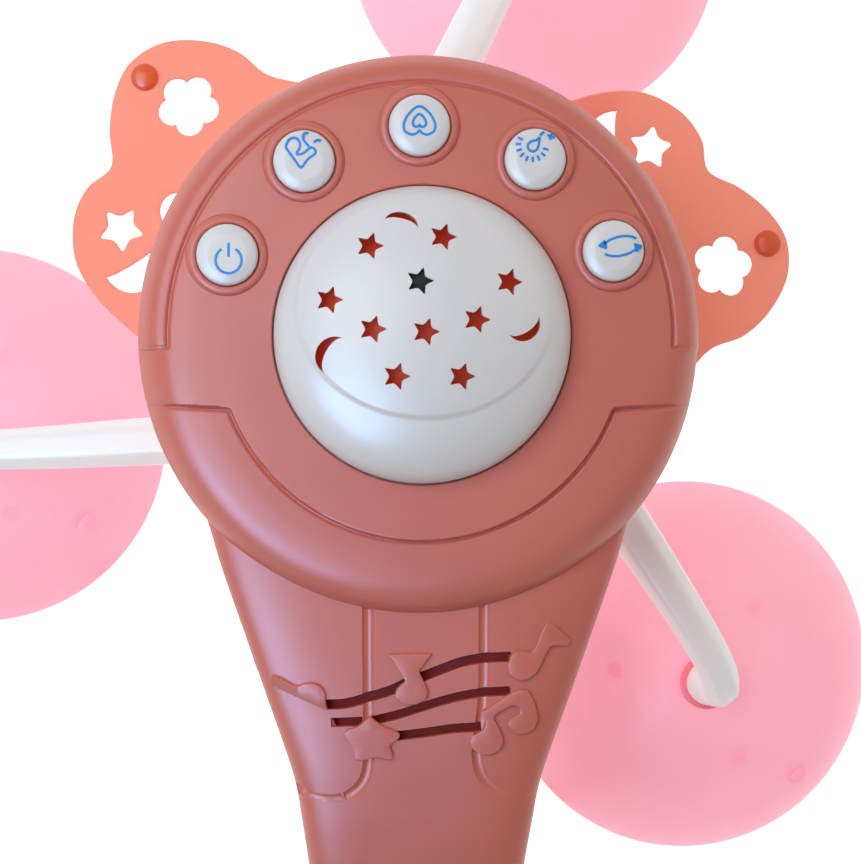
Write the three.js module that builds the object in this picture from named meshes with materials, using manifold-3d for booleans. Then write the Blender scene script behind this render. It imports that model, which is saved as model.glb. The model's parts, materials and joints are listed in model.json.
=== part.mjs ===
// Crib mobile: a rail clamp and a pole carry an arch and a round music and night-light head. A geared motor
// in the head turns a rotor of three leaves and three arms, and an umbrella-shaped canopy spins freely at
// each arm's end.
// Millimetres, +Z up. The origin is the middle of the fixed jaw's rubber face, which bears on the crib rail.
import * as THREE from "three";
import { mergeVertices } from "three/addons/utils/BufferGeometryUtils.js";
import Module from "manifold-3d";

const wasm = await Module();
wasm.setup();

// ---- Driving dimensions ----
const HEAD = new THREE.Vector3(0, 190, 440); // middle of the head's face, on the rotor's axis
const HEAD_R = 67.4;
const HEAD_DEPTH = 46;
const SPLIT_Z = -22; // joint between the top and bottom shells, below the face
const WALL = 2.4;
const GAP = 0.3; // clearance between parts that meet

const DOME_R = 34.7;
const DOME_TOP = 17;
const BUTTON_R = 7;
const BUTTON_CIRCLE = 49.1;
const BUTTON_MIDDLE = { x: -0.1, y: -0.4 }; // middle of the buttons' arc, from the rotor's axis
const BUTTON_ARC_TURN = 0.013; // radians the whole arc of buttons is turned
const BUTTON_STEP = THREE.MathUtils.degToRad(33.3);
const BUTTON_NAMES = ["rotate", "light", "heart", "melody", "power"];

const ARM_ANGLE = THREE.MathUtils.degToRad(-48.2); // where the first arm's canopy stands
const LEAF_ANGLE = THREE.MathUtils.degToRad(30); // the notch of the first leaf
const CANOPY_CIRCLE = 127.5;
const CANOPY_R = 55;
const CANOPY_TOP = -97;
const CANOPY_DEPTH = 40;
const ANCHOR_CIRCLE = 25; // the string anchors under a canopy
const LEAF_Z = -54.4;

const GEAR_MODULE = 1.3;
const GEAR_TEETH = 33;
const PINION_TEETH = 11;
const GEAR_CENTRES = (GEAR_MODULE * (GEAR_TEETH + PINION_TEETH)) / 2 + 0.05;
const SHAFT_R = 3;

const POLE_Y = -22;
const POLE_HALF = { x: 17, y: 12 };
const CLAMP_WIDTH = 44;
const CLAMP_BOTTOM = -30;
const SCREW_R = 7;
const JAW_OPEN = 40; // from the fixed jaw's face to the pressure pad's
const PAD_TRAVEL = 22;
const BOSS_END = 68; // the outer end of the boss that the screw turns in
const THIRD = (2 * Math.PI) / 3;

// ---- Materials ----
const finish = (color, roughness, metalness = 0) =>
  new THREE.MeshStandardMaterial({ color, roughness, metalness });
const rosePlastic = finish(0xc8776f, 0.4);
const whitePlastic = finish(0xe9ebf0, 0.3);
const armPlastic = finish(0xdfe0e0, 0.35);
const leafPlastic = finish(0xf08a70, 0.35);
const canopyPlastic = finish(0xf6adbd, 0.3);
const filterPlastic = finish(0x6f2418, 0.5);
const blackPlastic = finish(0x1b1b1d, 0.5);
const boardLaminate = finish(0x1f6b3a, 0.5);
const greyRubber = finish(0x55565a, 0.85);
const steel = finish(0xb9bbbe, 0.3, 1);
const brass = finish(0xb08d4a, 0.35, 1);
const gearPlastic = finish(0xf2efe6, 0.45);
const cellWrap = finish(0x2c5f9e, 0.4);

// ---- Joining and cutting ----
// A closed three.js geometry as a manifold-3d solid, turned outwards if its profile ran the other way.
function solid(geometry) {
  const bare = new THREE.BufferGeometry();
  bare.setAttribute("position", geometry.getAttribute("position"));
  if (geometry.index) bare.setIndex(geometry.index);
  const merged = mergeVertices(bare, 1e-3);
  const index = merged.index.array;
  const kept = [];
  for (let i = 0; i < index.length; i += 3) {
    const [a, b, c] = [index[i], index[i + 1], index[i + 2]];
    if (a !== b && b !== c && a !== c) kept.push(a, b, c);
  }
  const build = (order) =>
    new wasm.Manifold(
      new wasm.Mesh({
        numProp: 3,
        vertProperties: new Float32Array(merged.attributes.position.array),
        triVerts: new Uint32Array(order),
      }),
    );
  const made = build(kept);
  if (made.volume() > 0) return made;
  const turned = [];
  for (let i = 0; i < kept.length; i += 3) turned.push(kept[i], kept[i + 2], kept[i + 1]);
  return build(turned);
}

function geometryOf(made) {
  const mesh = made.getMesh();
  const points = new Float32Array(mesh.numVert * 3);
  for (let i = 0; i < mesh.numVert; i++) {
    points.set(mesh.vertProperties.subarray(i * mesh.numProp, i * mesh.numProp + 3), i * 3);
  }
  return new THREE.BufferGeometry()
    .setAttribute("position", new THREE.BufferAttribute(points, 3))
    .setIndex(new THREE.BufferAttribute(new Uint32Array(mesh.triVerts), 1));
}

const join = (...parts) => parts.reduce((all, one) => all.add(one));
const cut = (body, ...tools) => tools.reduce((left, one) => left.subtract(one), body);

function part(parent, name, made, material) {
  const geometry = made.isBufferGeometry ? made : geometryOf(made);
  geometry.computeVertexNormals();
  const mesh = new THREE.Mesh(geometry, material);
  mesh.name = name;
  parent.add(mesh);
  return mesh;
}

// ---- Shapes ----
// A profile of [radius, z] points turned about +Z.
function turned(profile, segments = 32) {
  const points = profile.map(([r, z]) => new THREE.Vector2(r, z));
  return new THREE.LatheGeometry(points, segments).rotateX(Math.PI / 2);
}

// A profile that doesn't reach the axis, closed on itself.
const turnedRing = (profile, segments) => turned([...profile, profile[0]], segments);

const disc = (r, bottom, top, segments = 24) =>
  solid(turned([[0, bottom], [r, bottom], [r, top], [0, top]], segments));

const moved = (made, x, y, z = 0) => made.translate([x, y, z]);

// An outline of [y, z] points extruded along X, centred on the middle plane.
function slab(points, width) {
  const made = new THREE.ExtrudeGeometry(outline(points), { depth: width, bevelEnabled: false });
  return solid(made.translate(0, 0, -width / 2).rotateY(Math.PI / 2).rotateX(Math.PI / 2));
}

function box(x0, x1, y0, y1, z0, z1) {
  const made = new THREE.BoxGeometry(x1 - x0, y1 - y0, z1 - z0);
  return solid(made.translate((x0 + x1) / 2, (y0 + y1) / 2, (z0 + z1) / 2));
}

function prism(shape, bottom, top, curveSegments = 8) {
  const made = new THREE.ExtrudeGeometry(shape, { depth: top - bottom, bevelEnabled: false, curveSegments });
  return solid(made.translate(0, 0, bottom));
}

const outline = (points) => new THREE.Shape(points.map(([x, y]) => new THREE.Vector2(x, y)));

function smoothOutline(points, divisions) {
  const corners = points.map(([x, y]) => new THREE.Vector3(x, y, 0));
  const curve = new THREE.CatmullRomCurve3(corners, true, "centripetal");
  return outline(curve.getPoints(divisions).slice(0, -1).map((p) => [p.x, p.y]));
}

function ellipse(halfX, halfY) {
  const shape = new THREE.Shape();
  shape.absellipse(0, 0, halfX, halfY, 0, 2 * Math.PI);
  return shape;
}

function star(x, y, outer, inner, turn = 0) {
  const points = [];
  for (let i = 0; i < 10; i++) {
    const r = i % 2 ? inner : outer;
    const a = turn + (i * Math.PI) / 5;
    points.push([x + r * Math.cos(a), y + r * Math.sin(a)]);
  }
  return outline(points);
}

// A five-petalled flower: a circle whose radius swells five times a turn.
function flower(x, y, radius, depth, turn = 0) {
  const points = [];
  for (let i = 0; i < 15; i++) {
    const a = turn + ((i + 0.5) * 2 * Math.PI) / 15;
    const r = radius + depth * Math.cos(5 * (a - turn));
    points.push([x + r * Math.cos(a), y + r * Math.sin(a)]);
  }
  return outline(points);
}

// A crescent moon whose back faces along turn, length from tip to tip.
function crescent(x, y, length, back, hollow, turn) {
  const points = [];
  const steps = 4;
  const place = (u, v) => [
    x + v * Math.cos(turn) - u * Math.sin(turn),
    y + v * Math.sin(turn) + u * Math.cos(turn),
  ];
  for (let i = 0; i <= steps; i++) {
    const a = (Math.PI * i) / steps;
    points.push(place((-length / 2) * Math.cos(a), back * Math.sin(a)));
  }
  for (let i = 1; i < steps; i++) {
    const a = (Math.PI * i) / steps;
    points.push(place((length / 2) * Math.cos(a), hollow * Math.sin(a)));
  }
  return outline(points);
}

// A ribbon of constant width along a smooth line of points.
function ribbon(points, width, steps = 8) {
  const line = new THREE.CatmullRomCurve3(points.map(([x, y]) => new THREE.Vector3(x, y, 0)));
  const sides = [[], []];
  for (let i = 0; i <= steps; i++) {
    const p = line.getPoint(i / steps);
    const t = line.getTangent(i / steps);
    sides[0].push([p.x + (t.y * width) / 2, p.y - (t.x * width) / 2]);
    sides[1].push([p.x - (t.y * width) / 2, p.y + (t.x * width) / 2]);
  }
  return outline([...sides[0], ...sides[1].reverse()]);
}

// A closed body through rings of equal length, capped at both ends by a fan.
function loft(rings) {
  const count = rings[0].length;
  const points = rings.flat();
  const faces = [];
  for (let i = 0; i + 1 < rings.length; i++) {
    for (let j = 0; j < count; j++) {
      const a = i * count + j;
      const b = i * count + ((j + 1) % count);
      faces.push(a, b, b + count, a, b + count, a + count);
    }
  }
  for (const [ring, flip] of [[0, true], [rings.length - 1, false]]) {
    const middle = points.length;
    const centre = rings[ring].reduce((sum, p) => sum.add(p), new THREE.Vector3()).divideScalar(count);
    points.push(centre);
    for (let j = 0; j < count; j++) {
      const a = ring * count + j;
      const b = ring * count + ((j + 1) % count);
      faces.push(...(flip ? [middle, b, a] : [middle, a, b]));
    }
  }
  const geometry = new THREE.BufferGeometry().setFromPoints(points);
  return solid(geometry.setIndex(faces));
}

// A ring of a rounded section: side and rise are its half sizes along two unit vectors.
function sectionRing(centre, across, up, side, rise, squareness, count) {
  const ring = [];
  for (let j = 0; j < count; j++) {
    const a = (2 * Math.PI * j) / count;
    const bend = (v) => Math.sign(v) * Math.abs(v) ** squareness;
    ring.push(
      centre
        .clone()
        .addScaledVector(across, side * bend(Math.cos(a)))
        .addScaledVector(up, rise * bend(Math.sin(a))),
    );
  }
  return ring;
}

// ---- Head shells ----
const FACE_PROFILE = [[DOME_R, 0], [48, -0.5], [57, -1.3], [61.4, -2.8], [64.6, -6.2], [66.9, -11],
  [HEAD_R, -15]];
const SOLE_PROFILE = [[0, -HEAD_DEPTH], [50, -HEAD_DEPTH], [60, -43.4], [65.3, -37.5], [HEAD_R, -29]];
const NECK_HALF_WIDTHS = [[52.4, -40], [48.1, -54.8], [41.7, -73.4], [30.3, -108], [26.7, -131],
  [25.6, -150]];
const NECK_TOP = [[-35, -7.5], [-64, -8.6], [-85, -10.6], [-104, -13.8], [-120, -17.8], [-134, -22.6]];
const NECK_SLOPE = Math.PI / 6; // how steeply the neck's end points down, into the arch
const NECK_END = { y: -140, z: -41, half: 13.5 };
const SPLIT_BEND = { y: -69.1, radius: 141.8 }; // where the shells' joint starts to bend down
const SCREW_POSTS = [40.25, 139.75, 235, 305].map((a) => {
  const angle = THREE.MathUtils.degToRad(a);
  return [48 * Math.cos(angle), 48 * Math.sin(angle)];
});
const BAY = { half: 24, y0: -113.5, y1: -60.5 }; // the battery bay's opening
const COVER_SCREW_Y = -108;
const SPEAKER_Y = -85.5;

// The neck: its plan outline and its side outline, each extruded and intersected, drawn in by inset.
function neck(inset) {
  const plan = NECK_HALF_WIDTHS.map(([x, y]) => [x - inset, y]);
  const planShape = outline([...plan, ...plan.map(([x, y]) => [-x, y]).reverse()]);
  const across = { y: -Math.sin(NECK_SLOPE), z: Math.cos(NECK_SLOPE) };
  const half = NECK_END.half - inset;
  const top = NECK_TOP.map(([y, z]) => [y, z - inset]);
  const end = { y: NECK_END.y + inset * across.z, z: NECK_END.z - inset * across.y };
  const side = [
    ...top,
    [end.y + half * across.y, end.z + half * across.z],
    [end.y - half * across.y, end.z - half * across.z],
    [-114, -HEAD_DEPTH + inset],
    [-35, -HEAD_DEPTH + inset],
  ];
  return prism(planShape, -80, 10).intersect(slab(side, 140));
}

// The line where the shells meet, as [y, z] points: level under the face, then bending down along the neck.
function splitLine(lift) {
  const points = [[90, SPLIT_Z + lift]];
  const steps = 5;
  for (let i = 0; i <= steps; i++) {
    const slope = (1.15 * NECK_SLOPE * i) / steps;
    points.push([
      SPLIT_BEND.y - SPLIT_BEND.radius * Math.sin(slope),
      SPLIT_Z + lift - SPLIT_BEND.radius * (1 - Math.cos(slope)),
    ]);
  }
  return points;
}

function headBody(inset, segments) {
  const outer = [...SOLE_PROFILE, ...FACE_PROFILE.toReversed(), [0, 0]];
  const drawnIn = outer.map(([r, z], i) => [
    i === 0 || i === outer.length - 1 ? 0 : r - inset * (z < -1.5 && z > -HEAD_DEPTH ? 1 : 0.4),
    z > SPLIT_Z ? z - inset : z + inset,
  ]);
  return join(solid(turned(drawnIn, segments)), neck(inset));
}

const SLOTS = [
  { width: 2.5, line: [[-22.3, -88.2], [-17.7, -87.9], [-12, -86.3], [-6.9, -84.7], [-3.8, -83.3]] },
  { width: 2.5, line: [[0.4, -81.6], [5.2, -79.7], [10.3, -77.9], [15.4, -77.1], [21.4, -76.8]] },
  { width: 2.3, line: [[-20.6, -92.5], [-14.4, -92.3]] },
  { width: 2.3, line: [[-10.9, -92], [-5.6, -90.8], [4.6, -87.6], [14.8, -85.5], [21.7, -85.1]] },
  { width: 2.4, line: [[-4.8, -96], [1.4, -95.2], [14.2, -93.9]] },
];

function buttonPlaces() {
  return BUTTON_NAMES.map((name, i) => {
    const angle = Math.PI / 2 + BUTTON_ARC_TURN + (i - 2) * BUTTON_STEP;
    return {
      name,
      x: BUTTON_MIDDLE.x + BUTTON_CIRCLE * Math.cos(angle),
      y: BUTTON_MIDDLE.y + BUTTON_CIRCLE * Math.sin(angle),
    };
  });
}

function headShells(head) {
  const hollow = cut(headBody(0, 32), headBody(WALL, 20), neckOpening());
  const above = slab([...splitLine(GAP / 2), [-170, 20], [90, 20]], 160);
  const below = slab([...splitLine(-GAP / 2), [-170, -80], [90, -80]], 160);

  const bosses = buttonPlaces().map(({ x, y }) => moved(disc(9.4, -5, 0.3, 14), x, y));
  const buttonHoles = buttonPlaces().map(({ x, y }) => moved(disc(BUTTON_R + 0.45, -8, 4, 14), x, y));
  const slots = SLOTS.map(({ width, line }) => prism(ribbon(line, width, line.length), -24, 0));
  const topPosts = SCREW_POSTS.map(([x, y]) => moved(disc(3.6, SPLIT_Z + GAP, -3, 8), x, y));
  const pilotHoles = SCREW_POSTS.map(([x, y]) => moved(disc(1.7, SPLIT_Z - 1, -14, 6), x, y));
  const top = cut(
    join(hollow.intersect(above), ...bosses, ...topPosts),
    disc(DOME_R + 0.5, -5, 5, 32),
    ...buttonHoles,
    ...slots,
    ...pilotHoles,
  );
  part(head, "head_top_shell", top, rosePlastic);

  const bottomPosts = SCREW_POSTS.map(([x, y]) => moved(disc(4, -45, SPLIT_Z - GAP, 8), x, y));
  const screwHoles = SCREW_POSTS.flatMap(([x, y]) => [
    moved(disc(1.9, -50, -20, 6), x, y),
    moved(disc(3.7, -50, -44.8, 8), x, y),
  ]);
  const bottom = cut(
    join(hollow.intersect(below), ...bottomPosts, disc(9, -45.5, -41.9, 20)),
    ...screwHoles,
    disc(6.2, -60, -30, 20),
    box(-BAY.half, BAY.half, BAY.y0, BAY.y1, -50, -40),
  );
  part(head, "head_bottom_shell", bottom, rosePlastic);
}

// The open end of the neck, which the arch's spigot plugs into.
function neckOpening() {
  const along = new THREE.Vector3(0, -Math.cos(NECK_SLOPE), -Math.sin(NECK_SLOPE));
  const up = new THREE.Vector3(0, -Math.sin(NECK_SLOPE), Math.cos(NECK_SLOPE));
  const across = new THREE.Vector3(1, 0, 0);
  const middle = new THREE.Vector3(0, NECK_END.y, NECK_END.z);
  const rings = [-8, 4].map((step) =>
    sectionRing(middle.clone().addScaledVector(along, step), across, up, 18, 9, 0.5, 16),
  );
  return loft(rings);
}

function screws(head) {
  const profile = [[0, -45.9], [2.6, -45.9], [3.1, -45.3], [1.3, -45.1], [1.3, -17], [0, -16]];
  SCREW_POSTS.forEach(([x, y], i) => {
    part(head, `shell_screw_${i + 1}`, solid(turned(profile, 8)), steel).position.set(x, y, 0);
  });
}

// ---- Night light ----
const CUTOUT_STARS = [
  [-12.6, 19.9], [4.1, 22], [-1.3, 11.8], [19.2, 11.8], [-21.8, 7.6], [-12, 0.9], [0, 0.3], [11.6, 3.1],
  [-6.6, -9.8], [8.2, -9.8],
];
const CUTOUT_MOONS = [
  { x: -5.5, y: 24.8, turn: 75 },
  { x: 22.4, y: 1.9, turn: -58 },
  { x: -20.9, y: -5.4, turn: 152 },
];

function domeProfile(radius, rise, base) {
  const points = [];
  for (let i = 0; i <= 4; i++) {
    const a = (i * Math.PI) / 8;
    points.push([i === 4 ? 0 : radius * Math.cos(a), base + rise * Math.sin(a)]);
  }
  return points;
}

function nightLight(head) {
  const flange = -WALL - GAP;
  const outer = solid(turned([[0, flange - 1.5], [37, flange - 1.5], [37, flange], [DOME_R, flange],
    ...domeProfile(DOME_R, DOME_TOP - 0.6, 0.6)], 28));
  const hollow = [[0, -8], [DOME_R - 1.6, -8], ...domeProfile(DOME_R - 1.6, DOME_TOP - 2.2, 0)];
  const inner = solid(turned(hollow, 24));
  const stars = CUTOUT_STARS.map(([x, y]) => prism(star(x, y, 2.85, 1.4), -2, 30));
  const moons = CUTOUT_MOONS.map(({ x, y, turn }) =>
    prism(crescent(x, y, 7.6, 3.4, 1, THREE.MathUtils.degToRad(turn)), -2, 30));
  part(head, "projector_dome", cut(outer, inner, ...stars, ...moons), whitePlastic);

  const filter = cut(
    solid(turned([[0, -10.5], [30.2, -10.5], ...domeProfile(30.2, 12.6, -2)], 20)),
    solid(turned([[0, -12], [28.8, -12], ...domeProfile(28.8, 11.4, -2.4)], 20)),
  );
  part(head, "light_filter", filter, filterPlastic);
  const chassis = [[0, -12.4], [38, -12.4], [38, -10.8], [36.4, -10.8], [36.4, -4.5], [33, -4.5],
    [33, -10.8], [0, -10.8]];
  part(head, "light_chassis", solid(turned(chassis, 20)), whitePlastic);
  part(head, "lamp_board", disc(14, -10.5, -8.9, 16), boardLaminate);
  const lamp = solid(turned([[0, -8.6], [4.2, -8.6], [4.2, -4], [3, -1.6], [0, -0.6]], 12));
  part(head, "projector_lamp", lamp, whitePlastic);
}

// ---- Buttons and their board ----
const BOARD = { inner: 40, outer: 58, start: 12, end: 168 };

function boardShape(inner, outer) {
  const shape = new THREE.Shape();
  const [start, end] = [BOARD.start, BOARD.end].map(THREE.MathUtils.degToRad);
  shape.absarc(0, 0, outer, start, end, false);
  shape.absarc(0, 0, inner, end, start, true);
  return shape;
}

function buttons(head) {
  const profile = [[0, -8.4], [3, -8.4], [3, -6.6], [8, -6.6], [8, -5.5], [BUTTON_R, -5.5], [BUTTON_R, 1.8],
    [6.2, 3.1], [0, 3.4]];
  for (const { name, x, y } of buttonPlaces()) {
    part(head, `button_${name}`, solid(turned(profile, 14)), whitePlastic).position.set(x, y, 0);
  }
  const domes = buttonPlaces().map(({ x, y }) => moved(disc(4, -12.4, -10.4, 8), x, y));
  const postHoles = SCREW_POSTS.map(([x, y]) => moved(disc(4.2, -20, -5, 8), x, y));
  const keypad = cut(join(prism(boardShape(42, 56.5), -12.9, -12, 10), ...domes), ...postHoles);
  part(head, "button_keypad", keypad, greyRubber);
  const board = cut(prism(boardShape(BOARD.inner, BOARD.outer), -14.8, -13.2, 10), ...postHoles);
  part(head, "main_board", board, boardLaminate);
}

// ---- Speaker and batteries ----
function speakerAndBatteries(head) {
  const frame = turnedRing([[15.6, -17.2], [15.6, -16.2], [17.5, -16.2], [17.5, -18.4], [11, -23],
    [9, -27], [2, -27], [2, -24.2], [9.4, -21.6]], 16);
  part(head, "speaker_frame", solid(frame), steel).position.y = SPEAKER_Y;
  const cone = solid(turned([[0, -22.4], [4, -21.6], [15.2, -17], [15.2, -16.4], [4, -20.6],
    [0, -19.4]], 16));
  part(head, "speaker_cone", cone, blackPlastic).position.y = SPEAKER_Y;

  const cell = turned([[0, 0], [7.2, 0], [7.2, 49.2], [2.6, 49.2], [2.6, 50.5], [0, 50.5]], 12);
  [-14.9, 0, 14.9].forEach((x, i) => {
    const placed = part(head, `battery_${i + 1}`, solid(cell), cellWrap);
    placed.position.set(x, i % 2 ? -61.7 : -112.2, -35.9);
    placed.rotation.x = i % 2 ? Math.PI / 2 : -Math.PI / 2;
  });
  part(head, "battery_contact_front", box(-23, 23, -61.3, -60.7, -42.6, -30), steel);
  part(head, "battery_contact_rear", box(-23, 23, -113.2, -112.6, -42.6, -30), steel);
  const cover = cut(
    box(-BAY.half + GAP, BAY.half - GAP, BAY.y0 + GAP, BAY.y1 - GAP, -HEAD_DEPTH, -44),
    moved(disc(1.9, -50, -40, 8), 0, COVER_SCREW_Y),
    moved(disc(3.4, -50, -45, 10), 0, COVER_SCREW_Y),
  );
  part(head, "battery_cover", cover, rosePlastic);
  const coverScrew = solid(turned([[0, -45.9], [2.6, -45.9], [3, -45.6], [1.4, -45.2], [1.4, -43.4],
    [0, -43]], 10));
  part(head, "battery_cover_screw", coverScrew, steel).position.set(0, COVER_SCREW_Y, 0);
}

// ---- Gears ----
// A spur gear's outline with stub involute teeth, thinned for backlash. The first tooth points along turn.
function gearShape(teeth, turn) {
  const pitch = (GEAR_MODULE * teeth) / 2;
  const pressure = THREE.MathUtils.degToRad(20);
  const base = pitch * Math.cos(pressure);
  const tip = pitch + 0.8 * GEAR_MODULE;
  const root = pitch - 1.1 * GEAR_MODULE;
  const backlash = 0.16 / pitch;
  const spread = (a) => Math.tan(a) - a;
  const halfAtPitch = Math.PI / (2 * teeth) - backlash / 2;
  const halfAt = (r) => halfAtPitch + spread(pressure) - spread(Math.acos(Math.min(1, base / r)));
  const radii = [root, pitch, tip];
  const points = [];
  for (let i = 0; i < teeth; i++) {
    const middle = turn + (2 * Math.PI * i) / teeth;
    const half = radii.map((r) => [r, halfAt(Math.max(r, base))]);
    for (const [r, a] of half) points.push([r * Math.cos(middle - a), r * Math.sin(middle - a)]);
    for (const [r, a] of half.toReversed()) points.push([r * Math.cos(middle + a), r * Math.sin(middle + a)]);
  }
  return outline(points);
}

function drive(head, rotor) {
  const gear = cut(
    join(prism(gearShape(GEAR_TEETH, 0), -40, -36), disc(7, -40.6, -34, 16)),
    disc(SHAFT_R + 0.3, -50, -20, 14),
  );
  part(rotor, "main_gear", gear, gearPlastic);
  part(rotor, "output_shaft", disc(SHAFT_R, -84, -30, 14), steel);

  const pinion = cut(
    join(prism(gearShape(PINION_TEETH, 0), -40.5, -35.5), disc(5.4, -35.6, -34, 14)),
    disc(1.2, -50, -20, 10),
  );
  part(head, "motor_pinion", pinion, brass).position.x = GEAR_CENTRES;

  const bush = turnedRing([[SHAFT_R + 0.3, -47], [8, -47], [8, -46.1], [6, -46.1], [6, -41.4],
    [SHAFT_R + 0.3, -41.4]], 14);
  part(head, "shaft_bush", solid(bush), gearPlastic);
  const gearbox = cut(
    box(-8, GEAR_CENTRES + 13, -12, 12, -33.6, -26),
    moved(disc(2.2, -40, -20, 8), GEAR_CENTRES, 0),
    disc(SHAFT_R + 0.3, -40, -29.5, 14),
  );
  part(head, "gearbox_case", gearbox, blackPlastic);
  const motor = solid(turned([[0, -39], [1, -39], [1, -25.7], [10, -25.7], [10, -13.4], [0, -13]], 16));
  part(head, "motor_can", motor, steel).position.x = GEAR_CENTRES;
}

// ---- Rotor: hub, leaves, arms and canopies ----
const ARM_PATH = [
  [22, 19, -72], [40, 16.5, -71.8], [60, 13.6, -72], [80, 10.6, -72.8], [100, 7.7, -74.4], [113, 5.6, -76.2],
  [121, 3.9, -78], [127, 1.9, -80.8], [129.4, 0.7, -85], [128, 0, -89.6],
];

// One arm, in a frame whose X axis points at its canopy. side and rise taper from the hub to the tip.
function armBody(grow = 0, until = 1) {
  const path = new THREE.CatmullRomCurve3(ARM_PATH.map((p) => new THREE.Vector3(...p)));
  const rings = [];
  const steps = 13;
  for (let i = 0; i / steps <= until + 1e-9; i++) {
    const along = path.getTangentAt(i / steps);
    const across = new THREE.Vector3(0, 1, 0.15).cross(along).cross(along).negate().normalize();
    const up = along.clone().cross(across).normalize();
    const taper = Math.min(1, (1.25 * i) / steps);
    rings.push(sectionRing(path.getPointAt(i / steps), across, up, 6.2 - 1.1 * taper + grow,
      4.6 - 0.5 * taper + grow, 0.75, 8));
  }
  return loft(rings);
}

function arms(rotor) {
  const peg = join(disc(3.4, -107.6, -88, 12), disc(6, CANOPY_TOP + 0.4, -89, 16));
  const body = join(armBody(), moved(peg, CANOPY_CIRCLE, 0));
  for (let i = 0; i < 3; i++) {
    part(rotor, `arm_${i + 1}`, body, armPlastic).rotation.z = ARM_ANGLE + i * THIRD;
  }
}

function hub(rotor) {
  const socketCut = armBody(GAP, 0.35);
  const socketFrame = new THREE.BoxGeometry(26, 17, 13).translate(13, 0, 0);
  socketFrame.rotateZ(THREE.MathUtils.degToRad(-8.2)).translate(17, 19.8, -72.2);
  const sockets = [];
  for (let i = 0; i < 3; i++) {
    const turn = THREE.MathUtils.radToDeg(ARM_ANGLE + i * THIRD);
    sockets.push(solid(socketFrame).subtract(socketCut).rotate([0, 0, turn]));
  }
  const armTurn = (i) => THREE.MathUtils.radToDeg(ARM_ANGLE + i * THIRD);
  const cuts = [0, 1, 2].map((i) => socketCut.rotate([0, 0, armTurn(i)]));
  const core = solid(turned([[0, -79.6], [26, -79.6], [27, -78.6], [27, -68], [30, -60], [30, -56.3],
    [9, -56.3], [9, -50], [0, -50]], 20));
  part(rotor, "rotor_hub", cut(join(core, ...sockets), ...cuts, disc(SHAFT_R + 0.3, -90, -40, 14)),
    whitePlastic);
  const ring = turnedRing([[9.4, -54.1], [29, -54.1], [28, -51.6], [9.4, -51.6]], 24);
  part(rotor, "leaf_clamp_ring", solid(ring), whitePlastic);
  const nut = cut(
    solid(turned([[0, -87.4], [8, -87.4], [10.5, -85], [10.5, -80], [0, -80]], 16)),
    disc(SHAFT_R + 0.3, -84.3, -70, 14),
  );
  part(rotor, "hub_nut", nut, whitePlastic);
}

const LEAF_OUTLINE = [
  [90.4, 0], [95.6, -8.2], [99.3, -17.3], [99.9, -26], [95.4, -34.6], [86.6, -40.4], [77, -42.6],
  [67.5, -41.2], [60, -43.2], [52, -46.5], [42, -38], [30, -22], [12, -9], [12, 9], [30, 18], [44, 29],
  [56, 35], [66.6, 33.9], [78.2, 30.7], [86.5, 25.4], [92.2, 16], [93, 7.6],
];

function leaves(rotor) {
  const shell = [];
  const profile = [[9.2, 0], [28, 0], [58, -1.6], [106, -8.4]];
  for (const [r, z] of profile) shell.push([r, LEAF_Z + z]);
  for (const [r, z] of profile.toReversed()) shell.push([r, LEAF_Z + z - 1.6]);
  const plan = smoothOutline(LEAF_OUTLINE, 33);
  const holes = [
    flower(81, -24, 7.1, 1, 0.9),
    star(79.9, 12.7, 5, 3.3, 0.91),
    crescent(73.6, 19.2, 14, 7.9, 0.8, 2.63),
    flower(69.4, 1.2, 4.6, 0.1),
  ];
  const pattern = cut(prism(plan, -80, -40), ...holes.map((shape) => prism(shape, -90, -30)));
  const anchor = { x: 94.5, y: -24.6 };
  const body = cut(
    join(
      solid(turnedRing(shell, 30)).intersect(pattern),
      moved(solid(turned([[0, -68], [2.4, -68], [3.4, -60.4], [0, -60.4]], 12)), anchor.x, anchor.y),
    ),
    moved(disc(0.9, -80, -40, 8), anchor.x, anchor.y),
  );
  for (let i = 0; i < 3; i++) {
    part(rotor, `leaf_${i + 1}`, body, leafPlastic).rotation.z = LEAF_ANGLE + i * THIRD;
  }
}

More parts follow.
